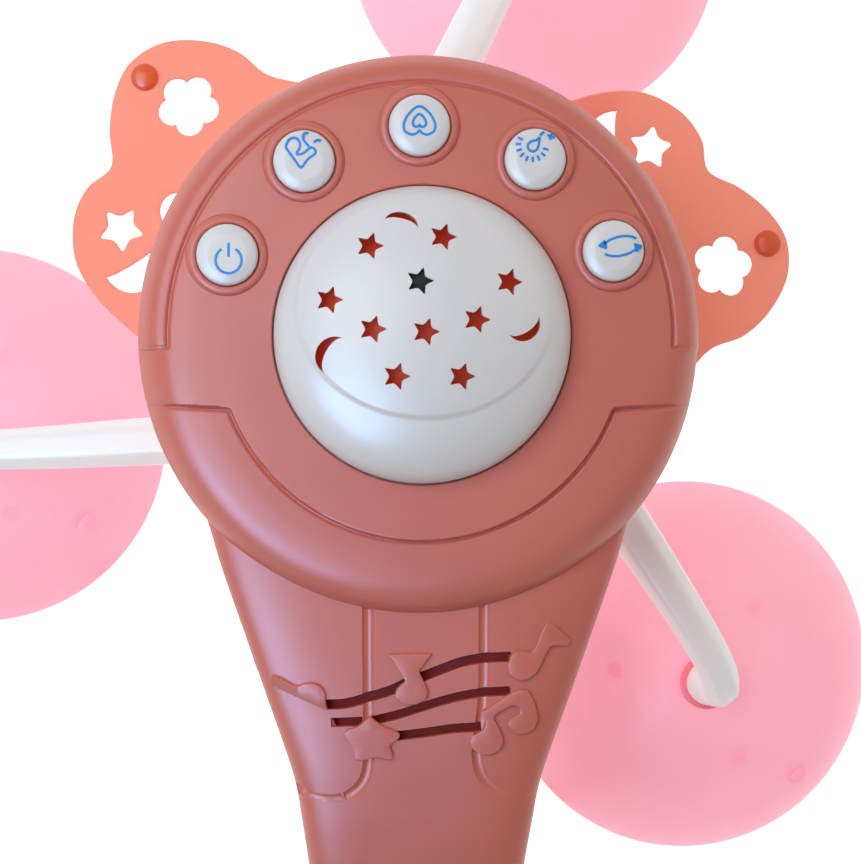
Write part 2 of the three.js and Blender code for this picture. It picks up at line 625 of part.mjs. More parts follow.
function canopies(rotor) {
  const wall = 1.8;
  const sphere = (CANOPY_R ** 2 + CANOPY_DEPTH ** 2) / (2 * CANOPY_DEPTH);
  const rise = (r, radius = sphere) => Math.sqrt(radius ** 2 - r ** 2) - sphere;
  const profile = [
    ...[4, 16, 30, 42, 50, CANOPY_R].map((r) => [r, CANOPY_TOP + rise(r)]),
    [CANOPY_R, CANOPY_TOP - CANOPY_DEPTH - wall],
    [CANOPY_R - wall, CANOPY_TOP - CANOPY_DEPTH - wall],
    ...[48.3, 40.6, 29, 15.5, 4].map((r) => [r, CANOPY_TOP + rise(r, sphere - wall)]),
  ];
  const anchorTurns = [54, 63, -55.5].map(THREE.MathUtils.degToRad);
  [0, 2, 1].forEach((place, i) => {
    const turn = ARM_ANGLE + place * THIRD;
    const floor = CANOPY_TOP + rise(ANCHOR_CIRCLE);
    const anchors = [0, 1, 2].map((k) => {
      const a = anchorTurns[i] + k * THIRD;
      return moved(disc(2.6, floor - 5.5, floor - 0.8, 8), ANCHOR_CIRCLE * Math.cos(a),
        ANCHOR_CIRCLE * Math.sin(a));
    });
    const holes = [0, 1, 2].map((k) => {
      const a = anchorTurns[i] + k * THIRD;
      return moved(disc(0.9, floor - 9, floor + 9, 5), ANCHOR_CIRCLE * Math.cos(a),
        ANCHOR_CIRCLE * Math.sin(a));
    });
    const centre = [CANOPY_CIRCLE * Math.cos(turn), CANOPY_CIRCLE * Math.sin(turn), 0];
    const body = cut(join(solid(turnedRing(profile, 24)), ...anchors), ...holes);
    part(rotor, `canopy_${place + 1}`, body, canopyPlastic).position.set(...centre);
    const cap = cut(
      solid(turned([[0, -109], [5, -109], [8, -105.6], [8, -101.2], [0, -101.2]], 16)),
      disc(3.7, -107.9, -90, 14),
    );
    part(rotor, `canopy_cap_${place + 1}`, cap, whitePlastic).position.set(...centre);
  });
}

// ---- Arch, pole and clamp ----
const ARCH_RUN = HEAD.y + NECK_END.y - POLE_Y;
const ARCH_RADIUS = ARCH_RUN / (1 - Math.sin(NECK_SLOPE));
const ARCH_END_Z = HEAD.z + NECK_END.z - ARCH_RADIUS * Math.cos(NECK_SLOPE);
const COLLAR_Z = 150;

// Rings along the arch, from the neck's slope to upright. from and to are shares of that turn.
function archRings(from, to, steps, half, squareness) {
  const rings = [];
  for (let i = 0; i <= steps; i++) {
    const share = from + ((to - from) * i) / steps;
    const slope = NECK_SLOPE + share * (Math.PI / 2 - NECK_SLOPE);
    const centre = new THREE.Vector3(
      0,
      HEAD.y + NECK_END.y - ARCH_RADIUS * (Math.sin(slope) - Math.sin(NECK_SLOPE)),
      HEAD.z + NECK_END.z - ARCH_RADIUS * (Math.cos(NECK_SLOPE) - Math.cos(slope)),
    );
    const up = new THREE.Vector3(0, -Math.sin(slope), Math.cos(slope));
    const size = half(Math.min(1, Math.max(0, share)));
    rings.push(sectionRing(centre, new THREE.Vector3(1, 0, 0), up, size[0], size[1], squareness, 14));
  }
  return rings;
}

function stand(root) {
  const arch = loft(archRings(0.003, 1, 7, (s) => [25.9 - 8.9 * s, 13.4 - 1.4 * s], 0.72));
  const spigot = loft(archRings(-0.085, 0.03, 3, () => [17.6, 8.6], 0.5));
  part(root, "arch_arm", join(arch, spigot), rosePlastic);

  const oval = (grow) => ellipse(POLE_HALF.x + grow, POLE_HALF.y + grow);
  const tube = (bottom, top) => prism(oval(0), bottom, top, 10);
  part(root, "pole_upper", tube(COLLAR_Z + GAP, ARCH_END_Z - GAP), rosePlastic).position.y = POLE_Y;
  part(root, "pole_lower", tube(40, COLLAR_Z), rosePlastic).position.y = POLE_Y;
  const collar = cut(prism(oval(3.4), COLLAR_Z - 14, COLLAR_Z + 14, 10), prism(oval(GAP), 0, 300, 10));
  part(root, "pole_collar", collar, whitePlastic).position.y = POLE_Y;
}

function clamp(root) {
  const profile = [[-62, CLAMP_BOTTOM], [-62, 36], [12, 36], [12, CLAMP_BOTTOM], [3.2, CLAMP_BOTTOM],
    [3.2, 26], [-54, 26], [-54, CLAMP_BOTTOM]];
  const alongY = (made) => made.rotate([90, 0, 0]);
  const bore = ellipse(POLE_HALF.x + GAP, POLE_HALF.y + GAP);
  const socket = cut(prism(ellipse(21, 16), 34, 62, 12), prism(bore, 39.7, 90, 12));
  const bracket = cut(
    join(slab(profile, CLAMP_WIDTH), alongY(disc(14, 55, BOSS_END, 20)), moved(socket, 0, POLE_Y)),
    alongY(disc(SCREW_R + 0.4, 50, 90, 16)),
  );
  part(root, "clamp_bracket", bracket, rosePlastic);
  part(root, "jaw_pad", box(-16, 16, 0, 3, -22, 18), greyRubber);
  part(root, "seat_pad", box(-16, 16, -50, -2, 23.6, 25.8), greyRubber);

  const plate = JAW_OPEN + 3;
  part(root, "pressure_pad", alongY(disc(13, JAW_OPEN, plate - 0.1, 16)), greyRubber);
  part(root, "pressure_plate", alongY(disc(15, plate, plate + 4, 16)), whitePlastic);
  const knobFace = BOSS_END + PAD_TRAVEL + 1.5;
  const knob = join(
    prism(flower(0, 0, 23, 1.6), knobFace, knobFace + 16),
    disc(15, knobFace + 15, knobFace + 19, 20),
    disc(SCREW_R, plate + 4 + GAP, knobFace + 1, 16),
  );
  part(root, "clamp_knob", alongY(knob), whitePlastic);
}

// ---- Assembly ----
const mobile = new THREE.Group();
const head = new THREE.Group();
const rotor = new THREE.Group();
head.position.copy(HEAD);
head.add(rotor);
mobile.add(head);

headShells(head);
screws(head);
nightLight(head);
buttons(head);
speakerAndBatteries(head);
drive(head, rotor);
hub(rotor);
leaves(rotor);
arms(rotor);
canopies(rotor);
stand(mobile);
clamp(mobile);

export default mobile;
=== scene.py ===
"""The look of the crib mobile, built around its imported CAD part.

Shapes are drawn in millimetres in the head's own frame: the origin is the middle of the head's face, on the
rotor's axis, +Z up. shape means a pair of (points, faces).
"""

import json
import math

import bmesh
import bpy
import numpy as np
from mathutils import Matrix, Vector
from mathutils.geometry import delaunay_2d_cdt


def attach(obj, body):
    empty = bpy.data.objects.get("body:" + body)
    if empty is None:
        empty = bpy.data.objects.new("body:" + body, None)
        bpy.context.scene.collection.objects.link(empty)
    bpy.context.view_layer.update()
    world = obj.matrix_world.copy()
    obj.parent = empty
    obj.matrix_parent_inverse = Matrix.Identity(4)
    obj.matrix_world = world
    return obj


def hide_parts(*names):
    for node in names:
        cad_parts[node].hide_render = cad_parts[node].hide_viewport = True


# ---- Driving dimensions, in millimetres from the middle of the head's face ----
HEAD = np.array((0.0, 190.0, 440.0))  # where the head's frame stands in the part's frame
HEAD_R = 67.4
SPLIT = 22.0  # how far the joint of the two shells lies below the face
WALL = 2.4
DOME_R = 34.7
BUTTON_CIRCLE = 49.1
BUTTON_MIDDLE = (-0.1, -0.4)
BUTTON_ARC_TURN = 0.013
BUTTON_STEP = 33.3
BUTTONS = ("rotate", "light", "heart", "melody", "power")
ARM_ANGLE = -48.2
LEAF_ANGLE = 30
LEAF_Z = -54.4
CANOPY_CIRCLE = 127.5
CANOPY_R = 55.0
CANOPY_TOP = -97.0
CANOPY_DEPTH = 40.0
NECK_SLOPE = math.radians(30)
NECK_END = (-140.0, -41.0)
POLE_Y = -212.0
POLE_HALF = (17.0, 12.0)
RAIL_Z = -440.0  # the clamp's origin, seen from the head's frame
THIRD = 120

# ---- Points and lines ----


def smoothstep(value):
    value = np.clip(value, 0, 1)
    return value * value * (3 - 2 * value)


def even(points, count, closed=False):
    """The line through the points, as count points evenly spaced along it."""
    line = np.asarray(points, float)
    if closed:
        line = np.vstack([line, line[:1]])
    steps = np.linalg.norm(np.diff(line, axis=0), axis=1)
    along = np.concatenate([[0], np.cumsum(steps)])
    wanted = np.linspace(0, along[-1], count + 1 if closed else count)
    if closed:
        wanted = wanted[:-1]
    return np.stack([np.interp(wanted, along, line[:, k]) for k in range(line.shape[1])], axis=1)


def curve(points, count, closed=False):
    """A smooth line through the points, as count points evenly spaced along it."""
    p = np.asarray(points, float)
    if closed:
        p = np.vstack([p[-1], p, p[0], p[1]])
    else:
        p = np.vstack([2 * p[0] - p[1], p, 2 * p[-1] - p[-2]])
    knots = np.concatenate([[0], np.cumsum(np.linalg.norm(np.diff(p, axis=0), axis=1) ** 0.5)])
    pieces = []
    for i in range(1, len(p) - 2):
        t0, t1, t2, t3 = knots[i - 1 : i + 3]
        t = np.linspace(t1, t2, 24, endpoint=False)[:, None]
        a1 = ((t1 - t) * p[i - 1] + (t - t0) * p[i]) / (t1 - t0)
        a2 = ((t2 - t) * p[i] + (t - t1) * p[i + 1]) / (t2 - t1)
        a3 = ((t3 - t) * p[i + 1] + (t - t2) * p[i + 2]) / (t3 - t2)
        b1 = ((t2 - t) * a1 + (t - t0) * a2) / (t2 - t0)
        b2 = ((t3 - t) * a2 + (t - t1) * a3) / (t3 - t1)
        pieces.append(((t2 - t) * b1 + (t - t1) * b2) / (t2 - t1))
    if not closed:
        pieces.append(p[-2][None])
    return even(np.vstack(pieces), count, closed)


def rounded(points, radius, closed=True, steps=4):
    """The polygon with each corner cut back by radius and bridged by a curve."""
    p = np.asarray(points, float)
    made = []
    for i, corner in enumerate(p):
        if not closed and i in (0, len(p) - 1):
            made.append(corner[None])
            continue
        before, after = p[i - 1] - corner, p[(i + 1) % len(p)] - corner
        sizes = np.linalg.norm(before), np.linalg.norm(after)
        reach = min(radius, 0.49 * sizes[0], 0.49 * sizes[1])
        start, end = corner + before * reach / sizes[0], corner + after * reach / sizes[1]
        t = np.linspace(0, 1, steps + 1)[:, None]
        made.append((1 - t) ** 2 * start + 2 * t * (1 - t) * corner + t**2 * end)
    return np.vstack(made)


def around(radius, degrees):
    return radius * math.cos(math.radians(degrees)), radius * math.sin(math.radians(degrees))


def arc(centre, radius, start, end, count):
    turn = np.radians(np.linspace(start, end, count))
    return np.stack([centre[0] + radius * np.cos(turn), centre[1] + radius * np.sin(turn)], axis=1)


def star_line(x, y, outer, inner, turn, softness):
    turns = np.radians(turn) + np.arange(10) * math.pi / 5
    reach = np.where(np.arange(10) % 2, inner, outer)
    return rounded(np.stack([x + reach * np.cos(turns), y + reach * np.sin(turns)], 1), softness, steps=3)


def crescent_line(x, y, length, back, hollow, turn, count=13):
    """A moon with its tips length apart. Its back bulges along turn."""
    angle = np.linspace(0, math.pi, count)
    u = np.concatenate([-np.cos(angle), np.cos(angle)[1:-1]]) * length / 2
    v = np.concatenate([back * np.sin(angle), hollow * np.sin(angle)[1:-1]])
    c, s = math.cos(math.radians(turn)), math.sin(math.radians(turn))
    return np.stack([x + v * c - u * s, y + v * s + u * c], axis=1)


def flower_line(x, y, radius, depth, turn, count=70):
    angle = np.linspace(0, 2 * math.pi, count, endpoint=False)
    reach = radius + depth * (2 * np.abs(np.cos(2.5 * angle)) ** 0.8 - 1)
    angle = angle + math.radians(turn)
    return np.stack([x + reach * np.cos(angle), y + reach * np.sin(angle)], axis=1)


def ribbon_line(points, width, count=24):
    """The outline of a band of constant width along a line, with soft ends."""
    line = curve(points, count) if len(points) > 2 else even(points, count)
    ahead = np.gradient(line, axis=0)
    ahead /= np.linalg.norm(ahead, axis=1)[:, None]
    side = np.stack([ahead[:, 1], -ahead[:, 0]], axis=1) * width / 2
    return rounded(np.vstack([line + side, (line - side)[::-1]]), width * 0.3)


def inside(x, y, loop):
    """Which of the points lie inside a closed line."""
    found = np.zeros(np.shape(x), bool)
    for (x0, y0), (x1, y1) in zip(loop, np.roll(loop, -1, axis=0)):
        if y0 != y1:
            found ^= ((y0 > y) != (y1 > y)) & (x < (x1 - x0) * (y - y0) / (y1 - y0) + x0)
    return found


def distance(x, y, line, closed=False):
    """How far each point lies from a line."""
    best = np.full(np.shape(x), 1e9)
    ends = np.roll(line, -1, axis=0) if closed else line[1:]
    for (x0, y0), (x1, y1) in zip(line, ends):
        dx, dy = x1 - x0, y1 - y0
        t = np.clip(((x - x0) * dx + (y - y0) * dy) / max(dx * dx + dy * dy, 1e-12), 0, 1)
        best = np.minimum(best, np.hypot(x - x0 - t * dx, y - y0 - t * dy))
    return best


def depth_inside(x, y, loop):
    """Distance to a closed line, positive inside it."""
    return distance(x, y, loop, closed=True) * np.where(inside(x, y, loop), 1, -1)


# ---- Shapes ----
END_SOFTNESS = 0.22  # radius of a swept body's end edges, as a share of its thinner half
END_RINGS = 3


def grid(rows, columns, wrap=False):
    """The quads of a net of rows by columns points."""
    r = np.arange(rows - 1)[:, None]
    c = np.arange(columns if wrap else columns - 1)[None, :]
    a, b = r * columns + c, r * columns + (c + 1) % columns
    return np.stack([a, b, b + columns, a + columns], axis=-1).reshape(-1, 4).tolist()


def joined(*shapes):
    points, faces, start = [], [], 0
    for some_points, some_faces in shapes:
        points.append(np.asarray(some_points))
        faces += [[i + start for i in face] for face in some_faces]
        start += len(some_points)
    return np.vstack(points), faces


def placed(shape, offset=(0, 0, 0), turn=0):
    """The shape turned about +Z by turn degrees, then moved."""
    points, faces = shape
    c, s = math.cos(math.radians(turn)), math.sin(math.radians(turn))
    spun = points @ np.array(((c, s, 0), (-s, c, 0), (0, 0, 1)))
    return spun + np.asarray(offset, float), faces


def along_y(shape):
    """The shape turned so that its +Z points along -Y."""
    points, faces = shape
    return np.stack([points[:, 0], -points[:, 2], points[:, 1]], axis=1), faces


def along_x(shape):
    """The shape turned so that its x, y and z run along Y, Z and X."""
    points, faces = shape
    return np.stack([points[:, 2], points[:, 0], points[:, 1]], axis=1), faces


def lathe(profile, segments=96):
    """A profile of (radius, z) points turned about +Z. It ends on the axis, or closes on itself."""
    profile = np.asarray(profile, float)
    axial = profile[:, 0] < 1e-6
    ring = profile[~axial]
    turn = np.linspace(0, 2 * math.pi, segments, endpoint=False)
    flat = [ring[:, :1] * np.cos(turn), ring[:, :1] * np.sin(turn), np.repeat(ring[:, 1:], segments, 1)]
    points = np.stack(flat, axis=-1).reshape(-1, 3)
    faces = grid(len(ring), segments, wrap=True)
    last = (len(ring) - 1) * segments
    for end, row in ((0, 0), (-1, last)):
        if axial[end]:
            points = np.vstack([points, [0, 0, profile[end, 1]]])
            faces += [[row + i, row + (i + 1) % segments, len(points) - 1] for i in range(segments)]
    if not axial.any():
        for i in range(segments):
            j = (i + 1) % segments
            faces.append([last + i, last + j, j, i])
    return points, faces


def tube(rings):
    """A closed body through rings of equal length, with a fan over each end."""
    rings = np.asarray(rings, float)
    rows, columns = rings.shape[:2]
    points = np.vstack([rings.reshape(-1, 3), rings[0].mean(0), rings[-1].mean(0)])
    faces = grid(rows, columns, wrap=True)
    for row, middle in ((0, rows * columns), ((rows - 1) * columns, rows * columns + 1)):
        faces += [[row + i, row + (i + 1) % columns, middle] for i in range(columns)]
    return points, faces


def oval(count, squareness):
    """A unit section, from a circle at squareness 2 towards a square above it."""
    turn = np.linspace(0, 2 * math.pi, count, endpoint=False)
    power = 2 / squareness
    bend = lambda v: np.sign(v) * np.abs(v) ** power
    return np.stack([bend(np.cos(turn)), bend(np.sin(turn))], axis=1)


def end_rings(ring, centre, inward, soft, count):
    """The rings that round off one end of a swept body, from the body outwards."""
    size = np.linalg.norm(ring - centre, axis=1).max()
    made = [ring + inward * soft]
    for k in range(1, count + 1):
        a = math.pi / 2 * k / count
        scale = 1 - soft * (1 - math.cos(a)) / size
        made.append(centre + (ring - centre) * scale + inward * soft * (1 - math.sin(a)))
    return made


def swept(path, halves, section, across_hint, count=32):
    """A body along a path, with rounded ends. halves gives the half width and half height at each point.

    section is the unit section's points, or the squareness of an oval one.
    """
    path, halves = np.asarray(path, float), np.asarray(halves, float)
    ahead = np.gradient(path, axis=0)
    ahead /= np.linalg.norm(ahead, axis=1)[:, None]
    unit = oval(count, section) if np.isscalar(section) else np.asarray(section)
    rings = []
    for point, direction, (wide, high) in zip(path, ahead, halves):
        across = np.asarray(across_hint, float) - np.dot(across_hint, direction) * direction
        across /= np.linalg.norm(across)
        up = np.cross(direction, across)
        rings.append(point + unit[:, :1] * across * wide + unit[:, 1:] * up * high)
    soft = min(halves[0].min(), halves[-1].min()) * END_SOFTNESS
    first = end_rings(rings[0], path[0], ahead[0], soft, END_RINGS)
    last = end_rings(rings[-1], path[-1], -ahead[-1], soft, END_RINGS)
    return tube(first[::-1] + rings[1:-1] + last)


def inset(loop, amount):
    """A counterclockwise closed line drawn in by amount."""
    before = loop - np.roll(loop, 1, axis=0)
    after = np.roll(loop, -1, axis=0) - loop
    ahead = before / np.linalg.norm(before, axis=1)[:, None] + after / np.linalg.norm(after, axis=1)[:, None]
    ahead /= np.maximum(np.linalg.norm(ahead, axis=1), 1e-9)[:, None]
    return loop + np.stack([-ahead[:, 1], ahead[:, 0]], axis=1) * amount


def facing(loop, hole=False):
    """The closed line, made to run counterclockwise, or clockwise for a hole."""
    x, y = loop[:, 0], loop[:, 1]
    area = np.sum(x * np.roll(y, -1) - np.roll(x, -1) * y)
    return loop[::-1] if (area < 0) != hole else loop


def as_height(level):
    return level if callable(level) else (lambda x, y: np.full(np.shape(x), float(level)))


def plate(outer, holes, bottom, top, edge, spacing=0):
    """A sheet with rounded edges. bottom and top are heights, or functions of x and y."""
    bottom, top = as_height(bottom), as_height(top)
    loops = [facing(np.asarray(outer, float))] + [facing(np.asarray(h, float), hole=True) for h in holes]
    cores = [inset(loop, edge) for loop in loops]
    flat = np.vstack(cores)
    rounds, start = [], 0
    for k, core in enumerate(cores):
        around = list(range(start, start + len(core)))
        rounds.append(around if k == 0 else around[::-1])
        start += len(core)
    extra = np.zeros((0, 2))
    if spacing:
        low, high = flat.min(0), flat.max(0)
        gx, gy = np.meshgrid(np.arange(low[0], high[0], spacing), np.arange(low[1], high[1], spacing))
        spots = np.stack([gx.ravel(), gy.ravel()], axis=1)
        room = depth_inside(spots[:, 0], spots[:, 1], cores[0])
        for core in cores[1:]:
            room = np.minimum(room, -depth_inside(spots[:, 0], spots[:, 1], core))
        extra = spots[room > spacing * 0.4]
    spots = np.vstack([flat, extra])
    net = delaunay_2d_cdt([Vector(p) for p in spots], [], rounds, 0, 1e-7)
    spots = np.array([tuple(p) for p in net[0]])
    triangles = np.array([face for face, parents in zip(net[2], net[5]) if list(parents) == [0]])
    x, y = spots[:, 0], spots[:, 1]
    upper = np.column_stack([x, y, top(x, y)])
    lower = np.column_stack([x, y, bottom(x, y)])
    shapes = [(upper, triangles.tolist()), (lower, triangles[:, ::-1].tolist())]
    for loop, core in zip(loops, cores):
        rows = []
        cx, cy = core[:, 0], core[:, 1]
        for side, level in ((-1, top), (1, bottom)):
            bends = np.linspace(0, math.pi / 2, 4)
            for a in bends if side < 0 else bends[::-1]:
                ring = core + (loop - core) * math.sin(a)
                drop = edge * (1 - math.cos(a))
                rows.append(np.column_stack([ring, level(cx, cy) + side * drop]))
        shapes.append((np.vstack(rows), grid(len(rows), len(loop), wrap=True)))
    return joined(*shapes)


def wire(points, half_width, half_height, closed=False, bend=None):
    """A flat printed line. bend gives the height of the surface that it lies on."""
    line = np.asarray(points, float)
    if closed:
        ahead = np.roll(line, -1, axis=0) - np.roll(line, 1, axis=0)
    else:
        ahead = np.gradient(line, axis=0)
    ahead /= np.maximum(np.linalg.norm(ahead, axis=1), 1e-9)[:, None]
    side = np.stack([ahead[:, 1], -ahead[:, 0]], axis=1) * half_width
    height = bend(line[:, 0], line[:, 1]) if bend else np.zeros(len(line))
    corner = []
    for across, up in ((1, -1), (1, 0.6), (0.8, 1), (-0.8, 1), (-1, 0.6), (-1, -1)):
        corner.append(np.column_stack([line + side * across, height + up * half_height]))
    rings = np.stack(corner, axis=1)
    if not closed:
        return tube(rings)
    rings = np.concatenate([rings, rings[:1]])
    rows, columns = rings.shape[:2]
    faces = grid(rows, columns, wrap=True)
    last = (rows - 1) * columns
    faces = [[i - last if i >= last else i for i in face] for face in faces]
    return rings.reshape(-1, 3)[:last], faces


# ---- Materials ----


def linear(color):
    """An sRGB colour in 0 to 255 as a linear one."""
    share = np.asarray(color, float) / 255
    return tuple(np.where(share <= 0.04045, share / 12.92, ((share + 0.055) / 1.055) ** 2.4))


def stretched(tree, value, span_from, span_to, smooth=False):
    """The value mapped from one range to another."""
    span = tree.nodes.new("ShaderNodeMapRange")
    if smooth:
        span.interpolation_type = "SMOOTHSTEP"
    for socket, number in zip(("From Min", "From Max", "To Min", "To Max"), (*span_from, *span_to)):
        span.inputs[socket].default_value = number
    tree.links.new(value, span.inputs["Value"])
    return span.outputs["Result"]


def material(name, color, roughness, grain=900, bump=0.04, mottle=0.05, metallic=0.0, uneven=0.04,
             **sockets):
    """A moulded surface: faint cloudiness, a fine grain and uneven gloss."""
    made = bpy.data.materials.new(name)
    made.use_nodes = True
    nodes, links = made.node_tree.nodes, made.node_tree.links
    shader = nodes["Principled BSDF"]
    where = nodes.new("ShaderNodeTexCoord")

    def noise(scale, detail, lo, hi):
        texture = nodes.new("ShaderNodeTexNoise")
        texture.inputs["Scale"].default_value = scale
        texture.inputs["Detail"].default_value = detail
        links.new(where.outputs["Object"], texture.inputs["Vector"])
        return stretched(made.node_tree, texture.outputs["Fac"], (0.3, 0.7), (lo, hi))

    base = np.array(linear(color))
    blend = nodes.new("ShaderNodeMix")
    blend.data_type = "RGBA"
    blend.inputs["A"].default_value = (*np.clip(base * (1 - mottle), 0, 1), 1)
    blend.inputs["B"].default_value = (*np.clip(base * (1 + mottle), 0, 1), 1)
    links.new(noise(38, 4, 0, 1), blend.inputs["Factor"])
    links.new(blend.outputs["Result"], shader.inputs["Base Color"])

    gloss = nodes.new("ShaderNodeMath")
    gloss.operation = "ADD"
    links.new(noise(55, 6, roughness - uneven, roughness + uneven), gloss.inputs[0])
    links.new(noise(grain * 0.5, 3, -0.02, 0.03), gloss.inputs[1])
    links.new(gloss.outputs["Value"], shader.inputs["Roughness"])

    lift = nodes.new("ShaderNodeBump")
    lift.inputs["Strength"].default_value = bump
    lift.inputs["Distance"].default_value = 0.0004
    links.new(noise(grain, 5, 0, 1), lift.inputs["Height"])
    links.new(lift.outputs["Normal"], shader.inputs["Normal"])
    shader.inputs["Metallic"].default_value = metallic
    for socket, value in sockets.items():
        shader.inputs[socket.replace("_", " ")].default_value = value
    return made


LOOKS = {
    "rose_housing": material("rose", (207, 113, 99), 0.4, 1500, 0.03, 0.03, uneven=0.02,
                             Subsurface_Weight=0.12, Subsurface_Radius=(0.004, 0.0015, 0.001),
                             Subsurface_Scale=1.0),
    "white_plastic": material("white", (222, 221, 224), 0.34, 1100, 0.03, 0.012, uneven=0.015,
                              Subsurface_Weight=0.1, Subsurface_Radius=(0.002, 0.002, 0.002),
                              Subsurface_Scale=1.0),
    # The arms' faint bluish glow is painted light. It lifts the arms out of the shade under the head; the
    # plastic is no lamp.
    "arm_plastic": material("milky", (240, 240, 240), 0.34, 800, 0.03, 0.02,
                            Emission_Color=(0.9, 0.93, 1, 1), Emission_Strength=0.16),
    # The leaves' faint red glow is painted light, as if light shone through the plastic.
    "leaf_plastic": material("coral", (252, 170, 148), 0.4, 900, 0.04, 0.03, Transmission_Weight=0.45,
                             IOR=1.1, Emission_Color=(1, 0.3, 0.2, 1), Emission_Strength=0.04),
    # The canopies' pink glow is painted light, as if light shone through the thin plastic.
    "canopy_plastic": material("petal", (250, 197, 214), 0.34, 700, 0.03, 0.03, Transmission_Weight=0.35,
                               IOR=1.25, Emission_Color=(1, 0.42, 0.52, 1), Emission_Strength=0.2),
    # The filter's faint red glow is painted light inside the dome; no lamp in the scene lights it.
    "light_filter": material("red_filter", (214, 74, 40), 0.5, 900, 0.05, 0.1,
                             Emission_Color=(1, 0.09, 0.03, 1), Emission_Strength=0.11),
    "black_plastic": material("black", (26, 26, 28), 0.5, 900, 0.08, 0.1),
    "circuit_board": material("laminate", (30, 104, 58), 0.5, 2500, 0.1, 0.15),
    "grey_rubber": material("rubber", (74, 76, 82), 0.8, 2200, 0.3, 0.08),
    "steel": material("steel", (182, 184, 188), 0.32, 2600, 0.06, 0.04, 1.0),
    "brass": material("brass", (190, 152, 84), 0.35, 2600, 0.06, 0.05, 1.0),
    "gear_plastic": material("acetal", (240, 236, 226), 0.42, 1300, 0.05, 0.03),
    "cell_wrap": material("cell_wrap", (44, 92, 156), 0.35, 1400, 0.04, 0.06),
}
BLUE_INK = material("blue_ink", (12, 138, 225), 0.45, 3000, 0.1, 0.06)
ORANGE_KNOB = material("orange_knob", (255, 112, 62), 0.35, 1200, 0.04, 0.04, Transmission_Weight=0.25)
# Painted shade: a glowing saturated pink for the tinted shade where each arm's foot meets its canopy.
PAINTED_PINK_SHADE = material("painted_pink_shade", (255, 120, 134), 0.4, 900, 0.03, 0.03, Emission_Color=(1, 0.2, 0.26, 1),
                    Emission_Strength=0.2)
# Painted shade: the dark red seen down the speaker slots.
SLOT_SHADE = material("painted_slot_shade", (140, 28, 16), 0.85, 1500, 0.1, 0.06)
DARK_WINDOW = material("dark_window", (10, 9, 9), 0.5, 1200, 0.04, 0.1)

# ---- Pieces ----


def object_of(name, points, faces, triangulated=False):
    """A linked object with the shape's mesh in metres, its faces turned outwards."""
    mesh = bpy.data.meshes.new(name)
    mesh.from_pydata((np.asarray(points) / 1000).tolist(), [], [tuple(face) for face in faces])
    edit = bmesh.new()
    edit.from_mesh(mesh)
    bmesh.ops.remove_doubles(edit, verts=edit.verts, dist=1e-7)
    bmesh.ops.recalc_face_normals(edit, faces=edit.faces)
    if triangulated:
        bmesh.ops.triangulate(edit, faces=edit.faces)
    edit.to_mesh(mesh)
    edit.free()
    made = bpy.data.objects.new(name, mesh)
    bpy.context.scene.collection.objects.link(made)
    return made


def piece(name, shape, body, slot, nodes=(), look=None, crease=32):
    """One visible piece. It rides on a body, wears its slot's look and stands in for the CAD nodes."""
    points, faces = shape
    made = object_of(name, np.asarray(points) + HEAD, faces)
    made.data.shade_smooth()
    made.data.set_sharp_from_angle(angle=math.radians(crease))
    made.data.materials.append(look or LOOKS[slot])
    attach(made, body)
    if nodes:
        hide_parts(*nodes)


def carved(shape, *tools):
    """The shape with the tools cut out of it, one after another."""
    for tool in tools:
        shape = carved_once(shape, tool)
    return shape


def carved_once(shape, tool):
    """The shape less the tool, by a boolean modifier whose result is kept."""
    objects = [object_of("carving", points, faces, triangulated=True) for points, faces in (shape, tool)]
    step = objects[0].modifiers.new("cut", "BOOLEAN")
    step.operation = "DIFFERENCE"
    step.solver = "MANIFOLD"
    step.object = objects[1]
    graph = bpy.context.evaluated_depsgraph_get()
    result = bpy.data.meshes.new_from_object(objects[0].evaluated_get(graph))
    points = np.array([v.co[:] for v in result.vertices]) * 1000
    faces = [list(face.vertices) for face in result.polygons]
    bpy.data.meshes.remove(result)
    for used in objects:
        bpy.data.meshes.remove(used.data)
    return points, faces


# ---- Head ----
PLATE_PROFILE = [(35.4, 0), (48, -0.5), (56, -1.2), (60, -2.3), (62, -3.8), (64, -6.1), (66, -9.6),
                 (67, -12.6)]
BAND_PROFILE = [(35.4, -1.8), (57, -2.7), (60.2, -2.7), (62, -3.0), (64, -4.4), (66, -7.8), (67, -11.2)]
LIP_PROFILE = [(35.4, -1.8), (49, -2.3), (55, -2.6), (60, -3.5), (63, -5.2), (65.4, -8.2), (67, -12.2)]
TAB = (-3.4, -15.0, -17.1)  # y of the side tab's upper edge, and of its lower edge at the rim and at the lip
PLATE_R = 59.0
LIP_ARC = (-0.3, 48.6)  # y of the centre and radius of the plate's lower edge


def plate_line():
    """The outline of the raised plate on the head's face. Its side tabs run out over the rim."""
    corner = (44.9, TAB[2])
    upper = arc((0, 0), PLATE_R, -3.3, 183.3, 90)
    sweep = math.degrees(math.atan2(corner[1] - LIP_ARC[0], corner[0]))
    lower = arc((0, LIP_ARC[0]), math.hypot(corner[0], corner[1] - LIP_ARC[0]), 180 - sweep, 360 + sweep, 60)
    corners = [(-80, TAB[0]), (-80, TAB[1])]
    line = np.vstack([upper, corners, lower, [(80, TAB[1]), (80, TAB[0])]])
    return rounded(line, 1.6, steps=3)


PLATE_LINE = plate_line()


def button_spots():
    """Each button's name and middle."""
    for i, name in enumerate(BUTTONS):
        angle = BUTTON_ARC_TURN + math.radians(90 + (i - 2) * BUTTON_STEP)
        x, y = BUTTON_MIDDLE
        yield name, x + BUTTON_CIRCLE * math.cos(angle), y + BUTTON_CIRCLE * math.sin(angle)


